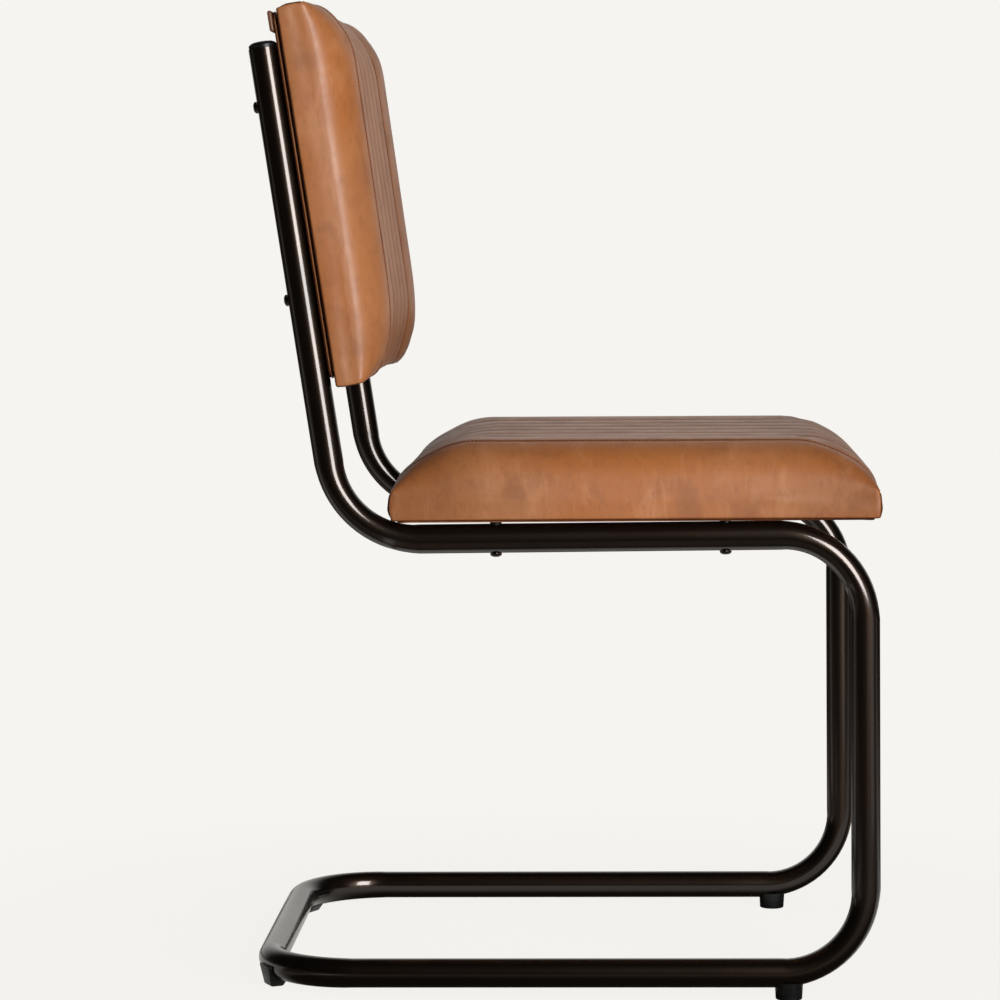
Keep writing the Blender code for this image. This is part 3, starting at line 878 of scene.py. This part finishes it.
    def build(self, coat: Finish, plastic: Finish) -> None:
        """Make every piece of the frame.

        Args:
            coat: Material of the tube and the bolts.
            plastic: Material of the caps and glides.
        """
        self.tube(coat)
        self.caps(plastic)
        self.glides(plastic)
        self.bolts(coat)


@dataclass
class End:
    """One end of a pad: its upright wall, and the shoulder that rolls over to the top.

    The shoulder's length and fullness are given in the middle and at the side seams. The
    wall bulges by some depth halfway up and is tucked in at its base.
    """

    wall: float
    seam: float
    shoulder: tuple[float, float]
    fullness: tuple[float, float]
    bulge: float = 0.0
    tuck: float = 0.0

    def across(self, share: np.ndarray) -> tuple[np.ndarray, np.ndarray]:
        """Length and fullness of the shoulder at a share of the way to the side seams."""
        inner, outer = zip(self.shoulder, self.fullness)
        return tuple(first + (last - first) * share for first, last in zip(inner, outer))


@dataclass
class Pad:
    """A boxed leather pad with lengthwise channels between two stitched side seams.

    It is made twice: fine for the leather, and coarse for the cushion cage that is blown up
    as cloth. A grid holds, for each vertex, its place across, its place along and its ring:
    0 on the top, then down the wall, round the lower edge and in under the lip.
    """

    name: str
    length: float
    width: float
    side_roll: float
    low: End
    high: End
    groove_rise: float
    channel_rise: float
    centre: float
    rim: float
    welt_height: float
    place: Matrix
    corner: float = 0.0045
    channels: int = 7
    side_fullness: float = 2.2
    draw_in: float = 0.001
    edge_steps: tuple[float, ...] = (0, 0.0005, 0.0012, 0.0022, 0.0033, 0.0045, 0.0058, 0.007,
                                     0.0092, 0.0118)
    edge_round: float = 0.0025
    wall_rings: int = 8
    lip: float = 0.012
    lip_rise: float = 0.002
    shelf_depth: float = 0.0005
    shelf_inset: float = 0.003
    shelf_width: float = 0.0026
    groove_depth: float = 0.0030
    groove_width: float = 0.0016
    # Painted shade along the channel grooves: its strength and reach.
    groove_shade: float = 0.92
    soot_width: float = 0.0052
    stitch_pitch: float = 0.0034
    stitch_length: float = 0.0025
    stitch_radius: float = 0.00046
    seam_burn: float = 0.50
    seam_width: float = 0.0020
    low_flare: float = 0.0
    high_flare: float = 0.0
    welt_inset: float = 0.0060
    welt_radius: float = 0.0008
    welt_corner: float = 0.010
    welt_sag: float = 0.0
    # Painted shade on the welt but for its high end.
    welt_shade: float = 0.0
    # Darker towards both ends: its strength and reach.
    end_darkening: float = 0.10
    wear_reach: float = 0.085
    shrink: float = 0.0010
    pressure: float = 4.0
    frames: int = 20
    swell_cap: float = 0.0014

    @property
    def seam(self) -> float:
        """Distance of the side seams from the middle."""
        return self.width / 2 - self.side_roll

    @property
    def pitch(self) -> float:
        """Distance from one channel to the next."""
        return 2 * self.seam / self.channels

    def columns(self, fine: bool) -> list[float]:
        """Sorted places of the grid lines across the pad."""
        if fine:
            roll = [*self.edge_steps, *np.linspace(0.0145, self.side_roll - 0.005, 10)]
            near = [0.0, 0.0006, 0.0012, 0.0020, 0.0032, 0.0048, 0.0072, 0.0105, 0.015, 0.0205]
        else:
            roll = list(np.linspace(0, self.side_roll - 0.008, 5))
            near = [0.0, 0.013]
        places = set()
        for side in (-1, 1):
            places.update(round(side * (self.width / 2 - inward), 6) for inward in roll)
            places.update(round(side * (self.seam + step), 6) for step in near if step < 0.004)
        for line in range(self.channels + 1):
            middle = -self.seam + line * self.pitch
            places.update(round(middle + side * step, 6) for step in near for side in (-1, 1)
                          if abs(middle + side * step) <= self.seam + 1e-9)
        places.update(round(-self.seam + (line + 0.5) * self.pitch, 6)
                      for line in range(self.channels))
        return sorted(places)

    def rows(self, fine: bool) -> list[float]:
        """Sorted places of the grid lines along the pad."""
        half = self.length / 2
        if fine:
            ends = [*self.edge_steps, *np.arange(0.0145, 0.080, 0.0028)]
            step = 0.0042
        else:
            ends = list(np.arange(0, 0.07, 0.01))
            step = 0.012
        inner = half - ends[-1]
        middle = np.linspace(-inner, inner, int(2 * inner / step) + 1)
        places = [side * (half - inward) for side in (-1, 1) for inward in ends[:-1]]
        return sorted(round(place, 6) for place in [*places, *middle])

    def drops(self, fine: bool) -> list[tuple[float, float]]:
        """For each ring down the wall, its share of the height and angle round the edge."""
        if not fine:
            return [(share, 0.0) for share in (0.8, 0.6, 0.4, 0.2, 0.0)]
        walls = [(share, 0.0) for share in (0.95, 0.86, 0.74, 0.6, 0.45, 0.3, 0.15, 0.0)]
        return walls + [(0.0, share * math.pi / 2) for share in (0.25, 0.5, 0.75, 1.0)]

    def lips(self) -> list[tuple[float, float]]:
        """For each ring under the leather's lip, how far inward it lies and its height."""
        return [(self.lip, 0.0), (self.lip, self.lip_rise), (self.lip + 0.002, 0.0025)]

    def lattice(self, fine: bool) -> tuple[Piece, np.ndarray]:
        """Make the pad's topology: a grid whose border is extruded down ring by ring.

        Args:
            fine: True for the leather, False for the cushion cage.

        Returns:
            The object and its grid.
        """
        columns = np.array(self.columns(fine))
        rows = np.array(self.rows(fine))
        Bench.clear()
        bpy.ops.mesh.primitive_grid_add(x_subdivisions=len(columns) - 1,
                                        y_subdivisions=len(rows) - 1, size=1)
        piece = bpy.context.object
        with Bench.editing(piece):
            bpy.ops.mesh.region_to_loop()
            for _ in range(len(self.drops(fine)) + (len(self.lips()) if fine else 0)):
                Bench.push(Vector((0, 0, -1)))
            if fine:
                bpy.ops.mesh.edge_face_add()
        place = Bench.read(piece)
        column = np.rint((place[:, 0] + 0.5) * (len(columns) - 1)).astype(int)
        row = np.rint((place[:, 1] + 0.5) * (len(rows) - 1)).astype(int)
        return piece, np.column_stack((columns[column], rows[row], np.rint(-place[:, 2])))

    @staticmethod
    def rise(inward: np.ndarray, length: np.ndarray, fullness: np.ndarray) -> np.ndarray:
        """Share of full height at a distance inward from the edge of a rolled shoulder."""
        share = np.clip(1 - inward / length, 0, 1)
        return (1 - share ** fullness) ** (1 / fullness)

    def blend(self, low: float, high: float, y: np.ndarray) -> np.ndarray:
        """Value at y between the low end and the high end."""
        return low + (high - low) * (0.5 + y / self.length)

    def along(self, x: np.ndarray, y: np.ndarray) -> np.ndarray:
        """Share of full height along the pad."""
        share = np.clip(np.abs(x) / self.seam, 0, 1) ** 4
        inward = self.length / 2 - np.abs(y)
        high, low = (self.rise(inward, *end.across(share)) for end in (self.high, self.low))
        return np.where(y > 0, high, low)

    def bowed(self, x: np.ndarray) -> np.ndarray:
        """Share of the channelled part's extra rise, none at and beyond the side seams."""
        return np.clip(1 - np.abs(x / self.seam) ** 6, 0, 1)

    def contour(self, x: np.ndarray, y: np.ndarray) -> tuple[np.ndarray, ...]:
        """Round the corners, flare the ends and draw the sides in.

        Args:
            x: Places across.
            y: Places along.

        Returns:
            New places across and along, and the outward direction at the border.
        """
        half_x = self.width / 2
        half_y = self.length / 2
        over_x = np.clip((np.abs(x) - half_x + self.corner) / self.corner, 0, 1)
        over_y = np.clip((np.abs(y) - half_y + self.corner) / self.corner, 0, 1)
        new_x = over_x * np.sqrt(1 - over_y ** 2 / 2)
        new_y = over_y * np.sqrt(1 - over_x ** 2 / 2)
        corner = (over_x > 0) & (over_y > 0)
        out_x = np.where(corner, np.sign(x) * (half_x - self.corner + self.corner * new_x), x)
        out_y = np.where(corner, np.sign(y) * (half_y - self.corner + self.corner * new_y), y)
        share_x = x / half_x
        share_y = y / half_y
        out_y = out_y - self.low_flare * share_x ** 4 * np.clip(-share_y, 0, 1) ** 3
        out_y = out_y + self.high_flare * share_x ** 4 * np.clip(share_y, 0, 1) ** 12
        out_x = out_x - np.sign(x) * self.draw_in * (1 - share_y ** 2) * share_x ** 2
        out_y = out_y - np.sign(y) * self.draw_in * (1 - share_x ** 2) * share_y ** 2
        away_x = np.where(over_x >= 1, np.sign(x) * np.maximum(new_x, 1e-9), 0)
        away_y = np.where(over_y >= 1, np.sign(y) * np.maximum(new_y, 1e-9), 0)
        away_x = np.where(corner, np.sign(x) * new_x, away_x)
        away_y = np.where(corner, np.sign(y) * new_y, away_y)
        size = np.maximum(np.hypot(away_x, away_y), 1e-9)
        return out_x, out_y, away_x / size, away_y / size

    def form(self, grid: np.ndarray, fine: bool) -> np.ndarray:
        """Places of the vertices of the pad's plain form, without channels.

        Args:
            grid: The grid.
            fine: True for the leather, False for the cushion cage.

        Returns:
            Places in the pad's frame.
        """
        x, y, ring = grid.T
        wall = self.blend(self.low.wall, self.high.wall, y)
        crown = self.blend(self.low.seam, self.high.seam, y)
        across = self.rise(self.width / 2 - np.abs(x), self.side_roll, self.side_fullness)
        height = wall + (crown - wall) * self.along(x, y) * across
        height += self.groove_rise * self.along(x, y) * self.bowed(x)
        out_x, out_y, away_x, away_y = self.contour(x, y)
        edge = self.edge_round
        low = edge if fine else 0.0
        bulge = np.where(y > 0, self.high.bulge, self.low.bulge)
        tuck = np.where(y > 0, self.high.tuck, self.low.tuck)
        drops = self.drops(fine)
        for index, (share, angle) in enumerate(drops, 1):
            here = ring == index
            height[here] = low + (wall[here] - low) * share - edge * math.sin(angle)
            inward = edge * (1 - math.cos(angle))
            swollen = (bulge[here] * math.sin(math.pi * share) ** 0.7
                       - tuck[here] * (1 - share) ** 3)
            out_x[here] -= away_x[here] * inward
            out_y[here] += away_y[here] * (swollen - inward)
        for index, (inward, rise) in enumerate(self.lips(), len(drops) + 1):
            here = ring == index
            height[here] = rise
            out_x[here] -= away_x[here] * inward
            out_y[here] -= away_y[here] * (inward + tuck[here])
        return np.column_stack((out_x, out_y, height))

    def swell(self, leather: Piece) -> None:
        """Inflate a coarse cushion cage as cloth, and let the leather follow it.

        Args:
            leather: The leather's mesh, moved by the swelling.
        """
        cage, grid = self.lattice(fine=False)
        start = self.form(grid, fine=False)
        Bench.write(cage, start)
        Bench.face_out(cage)
        loose = (grid[:, 2] < 1)[:, None]
        begun = start - Bench.normals(cage) * self.shrink * loose
        follow = leather.modifiers.new("follow", "SURFACE_DEFORM")
        follow.target = cage
        Bench.hold(leather)
        bpy.ops.object.surfacedeform_bind(modifier="follow")
        Bench.write(cage, begun)
        pins = cage.vertex_groups.new(name="pins")
        pins.add([int(i) for i in np.flatnonzero(grid[:, 2] > 2)], 1.0, "REPLACE")
        cloth = cage.modifiers.new("cloth", "CLOTH")
        cloth.settings.quality = 6
        cloth.settings.use_pressure = True
        cloth.settings.uniform_pressure_force = self.pressure
        cloth.settings.vertex_group_mass = "pins"
        cloth.settings.effector_weights.gravity = 0.0
        cloth.point_cache.frame_start = 1
        cloth.point_cache.frame_end = self.frames
        scene = bpy.context.scene
        for step in range(1, self.frames + 1):
            scene.frame_set(step)
        Bench.hold(cage)
        bpy.ops.object.modifier_apply(modifier="cloth")
        moved = Bench.read(cage) - start
        distance = np.maximum(np.linalg.norm(moved, axis=1, keepdims=True), 1e-9)
        LOG.info("%s cloth moved %.1f mm at most", self.name, distance.max() * 1000)
        kept = self.swell_cap * np.tanh(distance / self.swell_cap)
        Bench.write(cage, start + moved / distance * kept)
        Bench.hold(leather)
        bpy.ops.object.modifier_apply(modifier="follow")
        bpy.data.objects.remove(cage)
        scene.frame_set(1)

    def carve(self, leather: Piece, grid: np.ndarray) -> None:
        """Press in the seams, raise the channels and mark darker seams and ends and the painted
        shade.

        Args:
            leather: The leather's mesh.
            grid: Its grid.
        """
        x, y, ring = grid.T
        on_top = ring == 0
        fade = self.along(x, y) ** 0.25
        phase = (x + self.seam) / self.pitch
        to_line = np.abs(phase - np.rint(phase)) * self.pitch
        to_seam = np.abs(np.abs(x) - self.seam)
        to_end = self.length / 2 - np.abs(y)
        inside = (np.abs(x) < self.seam + 1e-6) & on_top
        wave = np.where(inside, np.abs(np.sin(math.pi * phase)), 0.0) ** 0.55
        line = inside & (to_seam > self.pitch / 2)
        beyond = np.abs(x) - self.seam - self.shelf_inset
        shelf = np.exp(-(beyond / self.shelf_width) ** 2) * (on_top & ~inside)
        groove = np.exp(-(to_line / self.groove_width) ** 2) * line
        lift = fade * (self.channel_rise * wave - self.shelf_depth * shelf
                       - self.groove_depth * groove)
        at_end = np.abs(to_end) < 1e-6
        corner_seam = (at_end & (self.width / 2 - np.abs(x) < self.corner + 0.0003)
                       & (ring <= self.wall_rings))
        lift -= 0.0005 * (at_end & on_top) + 0.0004 * corner_seam
        Bench.write(leather, Bench.read(leather) + Bench.normals(leather) * lift[:, None])
        past_wall = ring - self.wall_rings
        # Painted shade along the channel grooves and on the rings that turn under the lower edge
        # and the lip; darker side, end and corner seams; darker towards both ends.
        dark = np.maximum.reduce([
            self.groove_shade * np.exp(-(to_line / self.soot_width) ** 3) * line * fade,
            self.seam_burn * np.exp(-(to_seam / self.seam_width) ** 2) * on_top * fade,
            0.55 * (at_end & on_top), 0.95 * corner_seam,
            0.95 * (past_wall >= 3), 0.80 * (past_wall == 2), 0.30 * (past_wall == 1),
            self.end_darkening * np.exp(-(to_end / self.wear_reach) ** 2)])
        Bench.mark(leather, "burnish", dark)
        Bench.mark(leather, "crest", wave * fade)

    def stitches(self, leather: Piece, grid: np.ndarray, thread: Finish) -> None:
        """Sew dashes along the side seams and finer ones along the channels.

        Args:
            leather: The finished leather.
            grid: Its grid.
            thread: Material of the thread.
        """
        place = Bench.read(leather)
        normals = Bench.normals(leather)
        lines = []
        for line in range(self.channels + 1):
            target = -self.seam + line * self.pitch
            chosen = np.flatnonzero((np.abs(grid[:, 0] - target) < 1e-5) & (grid[:, 2] == 0))
            chosen = chosen[np.argsort(grid[chosen, 1])]
            radius = self.stitch_radius * (1.0 if line in (0, self.channels) else 0.7)
            lines.append((place[chosen], normals[chosen], radius))
        piece = Bench.sew(lines, self.stitch_pitch, self.stitch_length)
        Bench.dress(piece, f"{self.name}_stitching", thread, "dark_leather", angle=80.0)

    def welt(self, hide: Finish) -> None:
        """A thin cord round the pad's open side, with painted shade on it but for its high end.
        """
        x = self.width / 2 - self.welt_inset
        y = self.length / 2 - self.welt_inset
        corners = ((0, y), (x, y), (x, -y), (-x, -y), (-x, y), (0, y))
        path = [Vector((*corner, 0)) for corner in corners]
        cord = Bench.sweep(path, self.welt_radius, (self.welt_corner,) * 4, 10, 6)
        with Bench.editing(cord):
            bpy.ops.mesh.remove_doubles(threshold=0.00001)
        place = Bench.read(cord)
        place[:, 2] -= self.welt_sag * np.clip(np.abs(place[:, 1]) / y, 0, 1) ** 8
        Bench.write(cord, place)
        Bench.face_out(cord)
        # Painted shade along the cord, left off towards the high end where it catches the light.
        pale = np.clip((place[:, 1] / y - 0.75) / 0.2, 0, 1)
        Bench.mark(cord, "burnish", self.welt_shade * (1 - pale))
        cord.data.transform(self.place @ Matrix.Translation((0, self.centre, self.welt_height)))
        Bench.dress(cord, f"{self.name}_welt", hide, "leather")

    def build(self, hide: Finish, thread: Finish) -> None:
        """Make the leather, its stitching and its welt.

        Args:
            hide: Material of the leather.
            thread: Material of the thread.
        """
        leather, grid = self.lattice(fine=True)
        Bench.write(leather, self.form(grid, fine=True))
        Bench.face_out(leather)
        self.swell(leather)
        self.carve(leather, grid)
        lay = self.place @ Matrix.Translation((0, self.centre, self.rim))
        leather.data.transform(lay)
        self.stitches(leather, grid, thread)
        Bench.dress(leather, f"{self.name}_leather", hide, "leather", f"{self.name}_cover",
                    angle=75.0)
        self.welt(hide)


@dataclass
class RearPanel:
    """The thin panel between the posts and the back, with a folded hem above the posts."""

    pad: Pad
    inset: float = 0.0065
    thickness: float = 0.0018
    corner: float = 0.006
    step: float = 0.0045
    step_rise: float = 0.0022
    border: float = 0.004
    hem_height: float = 0.018
    hem_depth: float = 0.0040
    hem_round: float = 0.0019
    hem_drop: float = 0.0045
    thread_radius: float = 0.0004

    @property
    def width(self) -> float:
        """Width of the panel and its hem."""
        return self.pad.width - 2 * self.inset

    def build(self, under: Finish, thread: Finish) -> None:
        """Make the panel, its hem and the hem's stitches.

        Args:
            under: Material of the panel's leather.
            thread: Material of the thread.
        """
        lay = self.pad.place @ Matrix.Translation((0, self.pad.centre, TUBE_RADIUS + TOUCH))
        sheet = self.sheet()
        sheet.data.transform(lay)
        Bench.dress(sheet, "back_panel", under, "dark_leather", "back_rear_panel")
        hem = self.hem()
        hem.data.transform(lay)
        Bench.dress(hem, "back_panel_hem", under, "dark_leather")
        reach = self.width / 2 - 0.002
        row = self.pad.length / 2 - self.hem_drop - self.hem_height * 0.75
        path = np.array([(x, row, -self.hem_depth) for x in np.linspace(-reach, reach, 40)])
        down = np.tile((0.0, 0.0, -1.0), (len(path), 1))
        seam = Bench.sew([(path, down, self.thread_radius)], self.pad.stitch_pitch,
                         self.pad.stitch_length)
        seam.data.transform(lay)
        Bench.dress(seam, "hem_stitching", thread, "dark_leather", angle=80.0)

    def sheet(self) -> Piece:
        """The panel, with a step towards the pad and painted shade over its step and border."""
        length = self.pad.length - 2 * self.inset
        sheet = Bench.box((self.width, length, self.thickness), (0, 0, self.thickness / 2))
        with Bench.picked(sheet, edges=lambda one, two: abs(one.z - two.z) > self.thickness / 2):
            bpy.ops.mesh.bevel(offset=self.corner, segments=6, affect="EDGES")
        with Bench.picked(sheet, faces=upward):
            bpy.ops.mesh.inset(thickness=self.step, depth=0)
            Bench.push(Vector((0, 0, self.step_rise)))
        with Bench.picked(sheet, faces=downward):
            bpy.ops.mesh.inset(thickness=self.border, depth=0)
        Bench.apply(sheet, "BEVEL", width=0.0005, segments=2)
        # Painted shade over the whole panel but the middle of its underside, for the shadowed gap
        # behind the pad.
        x, y, z = np.abs(Bench.read(sheet).T)
        edge = np.maximum(x - self.width / 2, y - length / 2) > -self.border / 2
        Bench.mark(sheet, "burnish", 0.9 * ((z > 0.0002) | edge))
        return sheet

    def hem(self) -> Piece:
        """The folded hem, a rounded bar above the posts."""
        row = self.pad.length / 2 - self.hem_drop - self.hem_height / 2
        hem = Bench.box((self.width, self.hem_height, self.hem_depth),
                        (0, row, -self.hem_depth / 2))
        Bench.apply(hem, "BEVEL", width=self.hem_round, segments=4)
        return hem


SEAT = Pad(
    name="seat", length=0.41616, width=0.453, side_roll=0.044,
    low=End(wall=0.0222, seam=0.06307, shoulder=(0.0475, 0.06525), fullness=(1.600, 1.700),
            bulge=0.0012, tuck=0.0003),
    high=End(wall=0.0240, seam=0.06421, shoulder=(0.0831, 0.0677), fullness=(1.790, 1.686),
             bulge=0.0020, tuck=0.0014),
    groove_rise=-0.0019, channel_rise=0.0030, welt_sag=0.0022, welt_shade=0.93, end_darkening=0.36,
    high_flare=0.0014,
    centre=-SEAT_BOLT_START + SEAT_REAR_OVERHANG - 0.41616 / 2, rim=0.0006,
    welt_height=0.0014, place=seat_frame())

BACK = Pad(
    name="back", length=0.32423, width=0.453, side_roll=0.059, side_fullness=2.1,
    low=End(wall=0.02056, seam=0.05116, shoulder=(0.0685, 0.0941), fullness=(1.66, 2.473),
            tuck=0.0008),
    high=End(wall=0.02194, seam=0.05445, shoulder=(0.0612, 0.058), fullness=(1.781, 2.09),
             tuck=0.0030),
    groove_rise=-0.0062, channel_rise=0.0036, seam_burn=0.25, stitch_radius=0.00034, end_darkening=0.04,
    low_flare=0.0038, welt_radius=0.0006,
    centre=BACK_BOLT_START - BACK_LOW_OVERHANG + 0.32423 / 2,
    rim=TUBE_RADIUS + TOUCH + 0.0045, welt_height=0.0146, place=back_frame())


@dataclass(frozen=True)
class SoftBox:
    """A rectangular soft lamp; mirrored is False where a flag keeps it off glossy surfaces."""

    name: str
    place: Triple
    target: Triple
    size: tuple[float, float]
    watts: float
    mirrored: bool = True


@dataclass
class Studio:
    """Camera, lamps, world and floor."""

    camera_place: Triple = (-3.3116, -0.0660, 0.6672)
    yaw: float = -0.039046
    pitch: float = 0.076906
    focal_pixels: float = 3658.67
    frame_pixels: float = 1000.0
    sensor: float = 36.0
    boxes: tuple[SoftBox, ...] = (
        SoftBox("tall_box", (-2.05, -1.25, 1.13), (-0.1, 0.0, 0.95), (1.05, 1.50), 65.0),
        SoftBox("low_card", (-0.66, -0.86, 0.27), (-0.21, -0.26, 0.24), (0.35, 0.50), 0.25),
        SoftBox("wall_fill", (-2.6, -0.3, 0.85), (0.0, 0.0, 0.65), (1.8, 1.2), 6.0, False),
        SoftBox("front_fill", (-0.9, -2.6, 1.0), (0.0, 0.0, 0.45), (1.4, 1.2), 4.0, False))
    paper: Triple = (0.922, 0.905, 0.871)
    backdrop: tuple[float, float] = (0.55, 0.97)
    dark_side: float = 0.01
    bright_side: float = 0.62
    ambient: float = 0.22
    floor_size: float = 24.0
    floor_drop: float = 0.0002
    floor_colour: Triple = (0.85, 0.835, 0.80)
    floor_paper: float = 0.95
    fade: tuple[float, float] = (0.30, 0.95)
    floor_glint: Triple = (0.030, 0.024, 0.020)
    inner_glint: Triple = (0.50, 0.49, 0.47)
    inner: tuple[float, float] = (0.17, 0.20)
    band: tuple[float, ...] = (0.258, 0.268, 0.30, 0.33)
    band_share: float = 0.3
    lane: tuple[float, ...] = (0.24, 0.34, 0.70, 1.0)
    lane_glow: float = 4.0

    @staticmethod
    def stand(data: bpy.types.ID, place: Triple, look: Vector) -> Piece:
        """Put a camera or a lamp in the scene.

        Args:
            data: The camera or the lamp.
            place: Where it stands.
            look: The direction that it faces.

        Returns:
            Its object.
        """
        thing = bpy.data.objects.new(data.name, data)
        bpy.context.scene.collection.objects.link(thing)
        thing.location = place
        thing.rotation_euler = look.to_track_quat("-Z", "Y").to_euler()
        return thing

    def camera(self) -> None:
        """The camera where the photograph was taken."""
        data = bpy.data.cameras.new("camera")
        data.sensor_width = self.sensor
        data.lens = self.focal_pixels / self.frame_pixels * self.sensor
        data.clip_end = 50.0
        level = math.cos(self.pitch)
        look = Vector((level * math.cos(self.yaw), -level * math.sin(self.yaw),
                       -math.sin(self.pitch)))
        bpy.context.scene.camera = self.stand(data, self.camera_place, look)

    def lamp(self, box: SoftBox) -> None:
        """Set up one soft lamp."""
        data = bpy.data.lights.new(box.name, "AREA")
        data.shape = "RECTANGLE"
        data.size, data.size_y = box.size
        data.energy = box.watts
        lamp = self.stand(data, box.place, Vector(box.target) - Vector(box.place))
        lamp.visible_camera = False
        lamp.visible_glossy = box.mirrored

    def world(self) -> None:
        """Pale paper to the camera, and in reflections bright only behind the chair."""
        graph = Graph("studio", world=True)
        bpy.context.scene.world = graph.owner
        split = graph.add("SeparateXYZ", None, {0: graph.add("TexCoord").outputs["Generated"]})
        behind = graph.ramp(split.outputs["X"], *self.backdrop, self.dark_side, self.bright_side)
        path = graph.add("LightPath").outputs
        seen = graph.add("Mix", None, {0: path["Is Glossy Ray"], 2: self.ambient, 3: behind})
        level = graph.add("Mix", None, {0: path["Is Camera Ray"], 2: seen.outputs[0], 3: 1.0})
        graph.finish(Color=self.paper, Strength=level.outputs[0])

    def floor(self) -> None:
        """A pale floor that keeps a soft shadow and fades into the backdrop.

        In reflections it is dark, but for the strip inside the base, a band behind the rear
        bar, and a brighter lane along each side.
        """
        Bench.clear()
        bpy.ops.mesh.primitive_plane_add(size=self.floor_size, location=(0, 0, -self.floor_drop))
        floor = bpy.context.object
        floor.name = "studio_floor"
        graph = Graph("pale_floor")
        graph.finish(Base_Color=self.floor_colour, Roughness=0.9, Specular_IOR_Level=0.1)
        spot = graph.add("TexCoord").outputs["Object"]
        aside = graph.add("SeparateXYZ", None, {0: spot}).outputs
        off = graph.math("ABSOLUTE", aside["X"])
        glow = graph.math("MULTIPLY_ADD", graph.strip(off, self.lane), self.lane_glow, 1.0)
        inner = graph.math("MAXIMUM", graph.ramp(off, *self.inner, 1.0, 0.0),
                           graph.strip(aside["Y"], self.band, self.band_share))
        glint = graph.mix(inner, self.floor_glint, self.inner_glint)
        paper = graph.add("Emission", None, {"Color": self.paper, "Strength": 1.0})
        dim = graph.add("Emission", None, {"Color": glint, "Strength": glow})
        path = graph.add("LightPath").outputs
        where = graph.add("VectorMath", {"operation": "LENGTH"}, {0: spot}).outputs["Value"]
        fade = graph.ramp(where, *self.fade, self.floor_paper, 1.0)
        seen = graph.math("MULTIPLY", fade, path["Is Camera Ray"])
        lit = graph.add("MixShader", None, {0: seen, 1: graph.shader.outputs[0],
                                            2: paper.outputs[0]})
        join = graph.add("MixShader", None, {0: path["Is Glossy Ray"], 1: lit.outputs[0],
                                             2: dim.outputs[0]})
        graph.feed(graph.tree.nodes["Material Output"].inputs["Surface"], join.outputs[0])
        floor.data.materials.append(graph.owner)

    def build(self) -> None:
        """Set the whole studio up."""
        self.camera()
        for box in self.boxes:
            self.lamp(box)
        self.world()
        self.floor()
        bpy.context.scene.view_settings.view_transform = "Standard"


def dress_nodes(materials: dict[str, Finish]) -> None:
    """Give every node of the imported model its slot's material."""
    for row in frame["record"]["subparts"]:
        node = frame["nodes"][row["node"]]
        node.data.materials.clear()
        node.data.materials.append(materials[row["material_slot"]])


def main() -> None:
    """Build the chair's looks and the studio."""
    logging.basicConfig(level=logging.INFO, format="%(name)s: %(message)s")
    hide = WaxedLeather().material()
    under = WaxedLeather("dark_waxed_leather", (0.09, 0.032, 0.014), (0.15, 0.058, 0.025),
                         (0.20, 0.085, 0.040), (0.16, 0.055, 0.021)).material()
    coat = PowderCoat().material()
    plastic = MouldedPlastic().material()
    materials = {
        "powder_coat": coat,
        "black_plastic": plastic,
        "leather": hide,
        "dark_leather": under,
        "plywood": Plain("birch_plywood", (0.55, 0.38, 0.22), (0.42, 0.27, 0.14),
                         (1.0, 14.0, 1.0), 0.7).material(),
        "foam": Plain("cut_foam", (0.80, 0.74, 0.55), (0.70, 0.62, 0.42),
                      (12.0, 12.0, 12.0), 0.95).material(),
        "zinc": Plain("zinc_plate", (0.60, 0.60, 0.58), (0.45, 0.45, 0.44),
                      (4.0, 4.0, 4.0), 0.35, 1.0).material(),
    }
    dress_nodes(materials)
    TubeFrame().build(coat, plastic)
    thread = WaxedThread().material()
    for pad in (SEAT, BACK):
        pad.build(hide, thread)
    RearPanel(BACK).build(under, thread)
    Studio().build()


if __name__ == "__main__":
    main()
